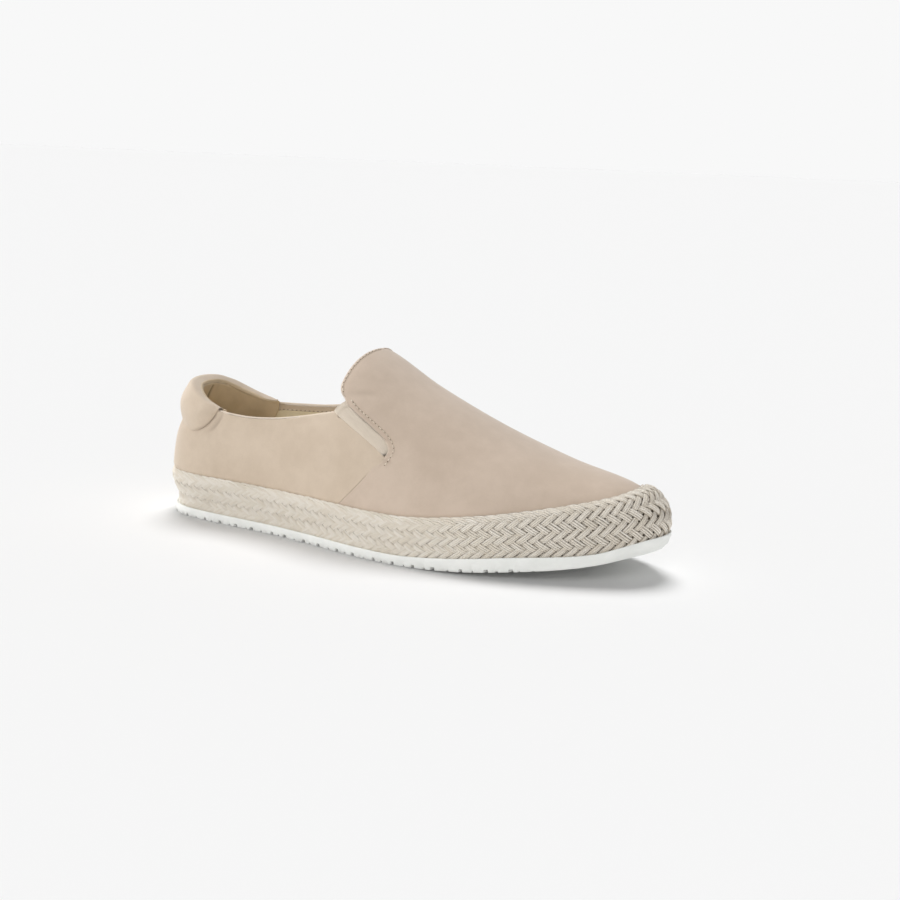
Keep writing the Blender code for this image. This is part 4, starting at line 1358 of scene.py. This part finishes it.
khaki, shader, position = new_finish("khaki lining leather", 0.55, sheen=0.08)
crease = position.attribute("crease")
cells = position.node("ShaderNodeTexVoronoi", {"feature": "DISTANCE_TO_EDGE"}, {
    "Vector": position, "Scale": 1300.0})
pebble = cells.between(0.0, 0.30)
wear = position.noise(60.0, 3.0, 0.55)
colour = wear.between(0.3, 0.7).mix(shade(0.525, 0.405, 0.26), shade(0.635, 0.50, 0.335))
# Painted shade: darker along the back seam's groove.
colour = (crease.between(0.05, 1.0) * 0.85).mix(colour, shade(0.24, 0.18, 0.11))
paint(shader, colour, 0.42 + 0.22 * wear, pebble * 0.5 + wear, 0.00009)


def front_station(height):
    """The station of the lining's front edge at a height."""
    return float(np.interp(height, column(HEEL_LINING_FRONT, "height"), column(HEEL_LINING_FRONT, "at")))


spread = np.linspace(1.0, -1.0, HEEL_LINING_COLUMNS + 1)
rows = []
for step in np.concatenate([np.linspace(-1.0, 0.0, 9)[:-1], np.linspace(0.0, 1.0, 20)]):
    turns = spread * float(turn_of(front_station(0.0640 - max(step, 0.0) * PAD_DEEP)))
    lapped = min(step, 0.0) * (LAPPED - inside_seam(turns))
    rows.append(collar_line(turns, 2.0 + lapped + max(step, 0.0))[:, 0])
for height_share in np.linspace(1.0, 0.0, 26)[1:]:
    turns = spread * float(turn_of(front_station(0.0150 + height_share * 0.031)))
    top_height = table(TOPLINE, "height", station_of(turns)) - inner_drop(turns) - PAD_DEEP
    heights = HEEL_LINING_FOOT + (top_height - HEEL_LINING_FOOT) * height_share
    climbs = climb_to(turns, heights[:, None])[:, 0]
    rows.append(off_last(turns, climbs, np.full(len(turns), INSIDE_FACE)))
points = np.stack(rows)
ways = unit(np.cross(np.gradient(points, axis=0), np.gradient(points, axis=1)))
ways = ways * np.sign(np.sum(ways * (np.array([0.040, 0.0, 0.03]) - points), axis=-1, keepdims=True))
below_edge = ease((np.arange(len(rows)) - 4.0) / 4.0)[:, None, None]
beside_seam = spread * 0.042 + BACK_SEAM_AT
back_seam = np.exp(-(beside_seam / BACK_SEAM_WIDTH)**2)[None, :, None] * below_edge
points = (points - ways * (0.00035 + back_seam * 0.0005)).reshape(-1, 3)
index = np.arange(len(points)).reshape(len(rows), -1)
sheet, faces, source = thickened(points, grid_faces(index), np.full(len(points), HEEL_LINING_THICKNESS))
heel_lining = shoe_mesh("heel_lining", sheet, faces, khaki, values={"crease": back_seam.ravel()[source]})
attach(heel_lining, "root")
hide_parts("heel_collar")

# ---------------------------------------------------------------- piping
# A thin piped cord of pale leather finishes the seam between the collar's nubuck and the heel's lining.

PIPING_RADIUS = 0.00055
PIPING_END = 0.01               # it stops this far short of the collar's front ends, as a turn

piping_leather, shader, position = new_finish("pale piping", 0.6, sheen=0.1)
streak = position.noise(900.0, 3.0, 0.6)
colour = streak.mix(shade(0.66, 0.56, 0.43), shade(0.78, 0.68, 0.55))
paint(shader, colour, 0.55 + 0.15 * streak, streak, 0.00005)

turns = np.linspace(end_turn - PIPING_END, PIPING_END - end_turn, 160)
cord_line = collar_line(turns, inside_seam(turns) + np.array([[-0.02, 0.02]])).mean(axis=1)
cord = guide_mesh("collar_piping", [(cord_line, np.tile(UP, (len(turns), 1)), 0.5)])
piping = grown("collar_piping", cord, sweep, {"Radius": PIPING_RADIUS, "Sides": 8, "Finish": piping_leather})
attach(piping, "root")
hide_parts("heel_collar")

# ---------------------------------------------------------------- stitches
# Beige thread: a lock-stitched row beside each elastic and round its end, one along the tongue's edge,
# and one inside the top edge that holds the lining.

THREAD_RADIUS = 0.00027
THREAD_SIDES = 6
THREAD_PROUD = 0.00022          # the thread's middle lies this far out of the leather's face
THREAD_DIVE = 0.0006            # and its ends this far inside it
STITCH_POINTS = 9
StitchRow = namedtuple("StitchRow", "pitch length inset")
SLOT_ROW = StitchRow(0.0024, 0.0016, 0.0034)
TONGUE_ROW = StitchRow(0.0027, 0.0018, 0.0017)
LINING_ROW = StitchRow(0.0028, 0.0019, 0.0041)
SLOT_POINTS = 300               # along the slot's edge from the side seam to its top
SLOT_ROW_START = 45             # the first of these that has thread beside it
TONGUE_ROW_START = 0.006        # the tongue's row starts this far below its corner
LINING_ROW_ENDS = (0.0385, 0.1215)      # stations
HOLE_RADIUS = 0.00025
HOLE_PLACE = 1.45               # half stitches from a stitch's middle to the needle hole behind it
HOLE_DEEP = 0.0004
HOLE_PROUD = 0.00016

thread, shader, position = new_finish("beige thread", 0.7, sheen=0.3)
tint = position.attribute("tint")
twist = (position.attribute("along") * 9000.0 + position.attribute("around") * 6.28).sine()
spun = (tint * 0.5 + twist * 0.12 + 0.25).between(0.1, 0.9)
colour = spun.mix(shade(0.72, 0.61, 0.48), shade(0.88, 0.79, 0.66))
paint(shader, colour, 0.7 + 0.1 * twist, twist, 0.00005)

# Each needle hole gets a short dark stub standing a little proud: painted shade for the hole's shadow.
needle_hole, shader, position = new_finish("painted needle hole shade", 0.95)
shader.inputs["Base Color"].default_value = shade(0.25, 0.195, 0.14)


def stitched(line, normals, row):
    """Single stitches along a line: each dives into the leather at both its ends."""
    lengths = arc_lengths(line)
    stitches = []
    count = int(lengths[-1] / row.pitch)
    for i in range(count):
        middle = (i + 0.5) * lengths[-1] / count + draw.normal(0.0, 0.00006)
        at = middle + np.linspace(-0.5, 0.5, STITCH_POINTS) * row.length
        spot = np.stack([np.interp(at, lengths, line[:, axis]) for axis in range(3)], axis=1)
        out = unit(np.stack([np.interp(at, lengths, normals[:, axis]) for axis in range(3)], axis=1))
        arch = 1.0 - np.abs(np.linspace(-1.0, 1.0, STITCH_POINTS))**3.5
        rise = THREAD_PROUD * arch - THREAD_DIVE * (1.0 - arch)
        stitches.append((spot + out * rise[:, None], out, draw.random()))
    return stitches


def beside(turns, climbs, distance, side, offset=0.0):
    """A line on the last at a distance to one side of another, with its outward directions."""
    points = last_point(turns, climbs)
    normals = last_normal(turns, climbs)
    ways = unit(np.gradient(points, axis=0))
    return points + unit(np.cross(ways, normals)) * distance * side + normals * offset, normals


paths = []
for side in (1, -1):
    slot_turns, slot_climbs = marked(side, SIDE_SEAM[-2:] + VAMP_SLOT_EDGE, SLOT_POINTS)
    line, out = beside(slot_turns, slot_climbs, SLOT_ROW.inset, side)
    paths += stitched(line[SLOT_ROW_START:], out[SLOT_ROW_START:], SLOT_ROW)
    line, out = beside(side * border_turns[:-1], border_climbs[:-1], TONGUE_ROW.inset, side, 0.00004)
    below_corner = border_lengths - border_lengths[BORDER_POINTS - 1] + TONGUE_ROW_START
    first = int(np.argmin(np.abs(below_corner)))
    paths += stitched(line[first:-2], out[first:-2], TONGUE_ROW)
    top_turns = side * np.linspace(*turn_of(LINING_ROW_ENDS), 400)
    line, out = beside(top_turns, topline_climbs(top_turns, LINING_ROW.inset), 0.0, side, -TURNED_IN)
    paths += stitched(line, -out, LINING_ROW)

holes = []
for path, normals, _ in paths:
    centre, out = path[STITCH_POINTS // 2], normals[STITCH_POINTS // 2]
    half = centre - path[0]
    half -= out * np.dot(half, out)
    spot = centre - half * HOLE_PLACE - out * THREAD_PROUD
    holes.append((np.stack([spot - out * HOLE_DEEP, spot + out * HOLE_PROUD]), np.stack([half, half]), 0.0))
hole_row = grown("needle_holes", guide_mesh("needle_holes", holes), sweep,
                 {"Radius": HOLE_RADIUS, "Sides": THREAD_SIDES, "Finish": needle_hole})
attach(hole_row, "root")
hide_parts("upper")
stitching = grown("stitches", guide_mesh("stitches", paths), sweep,
                  {"Radius": THREAD_RADIUS, "Sides": THREAD_SIDES, "Finish": thread})
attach(stitching, "root")
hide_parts("upper")

# ---------------------------------------------------------------- studio
# A pale floor and broad soft lights: three light only the shoe and two only the floor.

AIM = Vector((0.01900, 0.01347, 0.04840))
AZIMUTH, ELEVATION, ROLL = 28.457, 10.395, 2.279
DISTANCE = 0.85631
LENS = 64.605

sight = (Matrix.Rotation(radians(AZIMUTH), 4, "Z") @ Matrix.Rotation(radians(90.0 - ELEVATION), 4, "X")
         @ Matrix.Rotation(radians(ROLL), 4, "Z"))
camera = bpy.data.objects.new("camera", bpy.data.cameras.new("camera"))
camera.data.lens = LENS
camera.data.sensor_width = 36.0
camera.matrix_world = Matrix.Translation(AIM + sight.to_3x3() @ Vector((0.0, 0.0, DISTANCE))) @ sight
bpy.context.collection.objects.link(camera)
bpy.context.scene.camera = camera

FLOOR_SPAN = 30.0
FLOOR_HEIGHT = -0.0001
floor_finish, shader, position = new_finish("studio floor", 0.9)
shader.inputs["Base Color"].default_value = shade(0.885, 0.885, 0.885)
shader.inputs["Specular IOR Level"].default_value = 0.0
floor_mesh = bpy.data.meshes.new("floor")
floor_corners = [(x * FLOOR_SPAN, y * FLOOR_SPAN, FLOOR_HEIGHT)
                 for x, y in ((-1, -1), (1, -1), (1, 1), (-1, 1))]
floor_mesh.from_pydata(floor_corners, [], [(0, 1, 2, 3)])
floor_mesh.materials.append(floor_finish)
floor = bpy.data.objects.new("floor", floor_mesh)
bpy.context.collection.objects.link(floor)

shoe_only = bpy.data.collections.new("shoe")
floor_only = bpy.data.collections.new("ground")
for thing in [thing for thing in bpy.data.objects if thing.type == "MESH"]:
    (floor_only if thing == floor else shoe_only).objects.link(thing)


def soft_lamp(name, strength, spread, azimuth, elevation, lit):
    """A broad lamp far off, at an azimuth (0 beyond the inner side, 90 the heel) and an elevation."""
    made = bpy.data.objects.new(name, bpy.data.lights.new(name, "SUN"))
    made.data.energy = strength
    made.data.angle = radians(spread)
    aimed = Matrix.Rotation(radians(azimuth), 3, "Z") @ Matrix.Rotation(radians(elevation), 3, "X")
    towards = aimed @ Vector((0, 1, 0))
    made.rotation_euler = towards.to_track_quat("Z", "Y").to_euler()
    made.light_linking.receiver_collection = lit
    bpy.context.collection.objects.link(made)


soft_lamp("overhead softbox", 2.4, 42.0, 60.0, 60.0, shoe_only)
soft_lamp("heel fill", 1.1, 60.0, 118.0, 20.0, shoe_only)
soft_lamp("front fill", 0.76, 60.0, 204.0, 14.0, shoe_only)
soft_lamp("floor light", 2.37, 30.0, 29.0, 66.0, floor_only)
soft_lamp("front floor light", 0.42, 30.0, 205.0, 38.0, floor_only)

world = bpy.data.worlds.new("studio")
world.use_nodes = True
bpy.context.scene.world = world
backdrop = world.node_tree.nodes["Background"]
sky = Signal(world.node_tree, None)
direction = sky.node("ShaderNodeTexCoord", output=0)
tone = direction.axis(2).between(0.12, 0.5).mix(shade(0.939, 0.939, 0.939), shade(0.20, 0.20, 0.20))
world.node_tree.links.new(tone.socket, backdrop.inputs["Color"])
bpy.context.scene.view_settings.view_transform = "Standard"
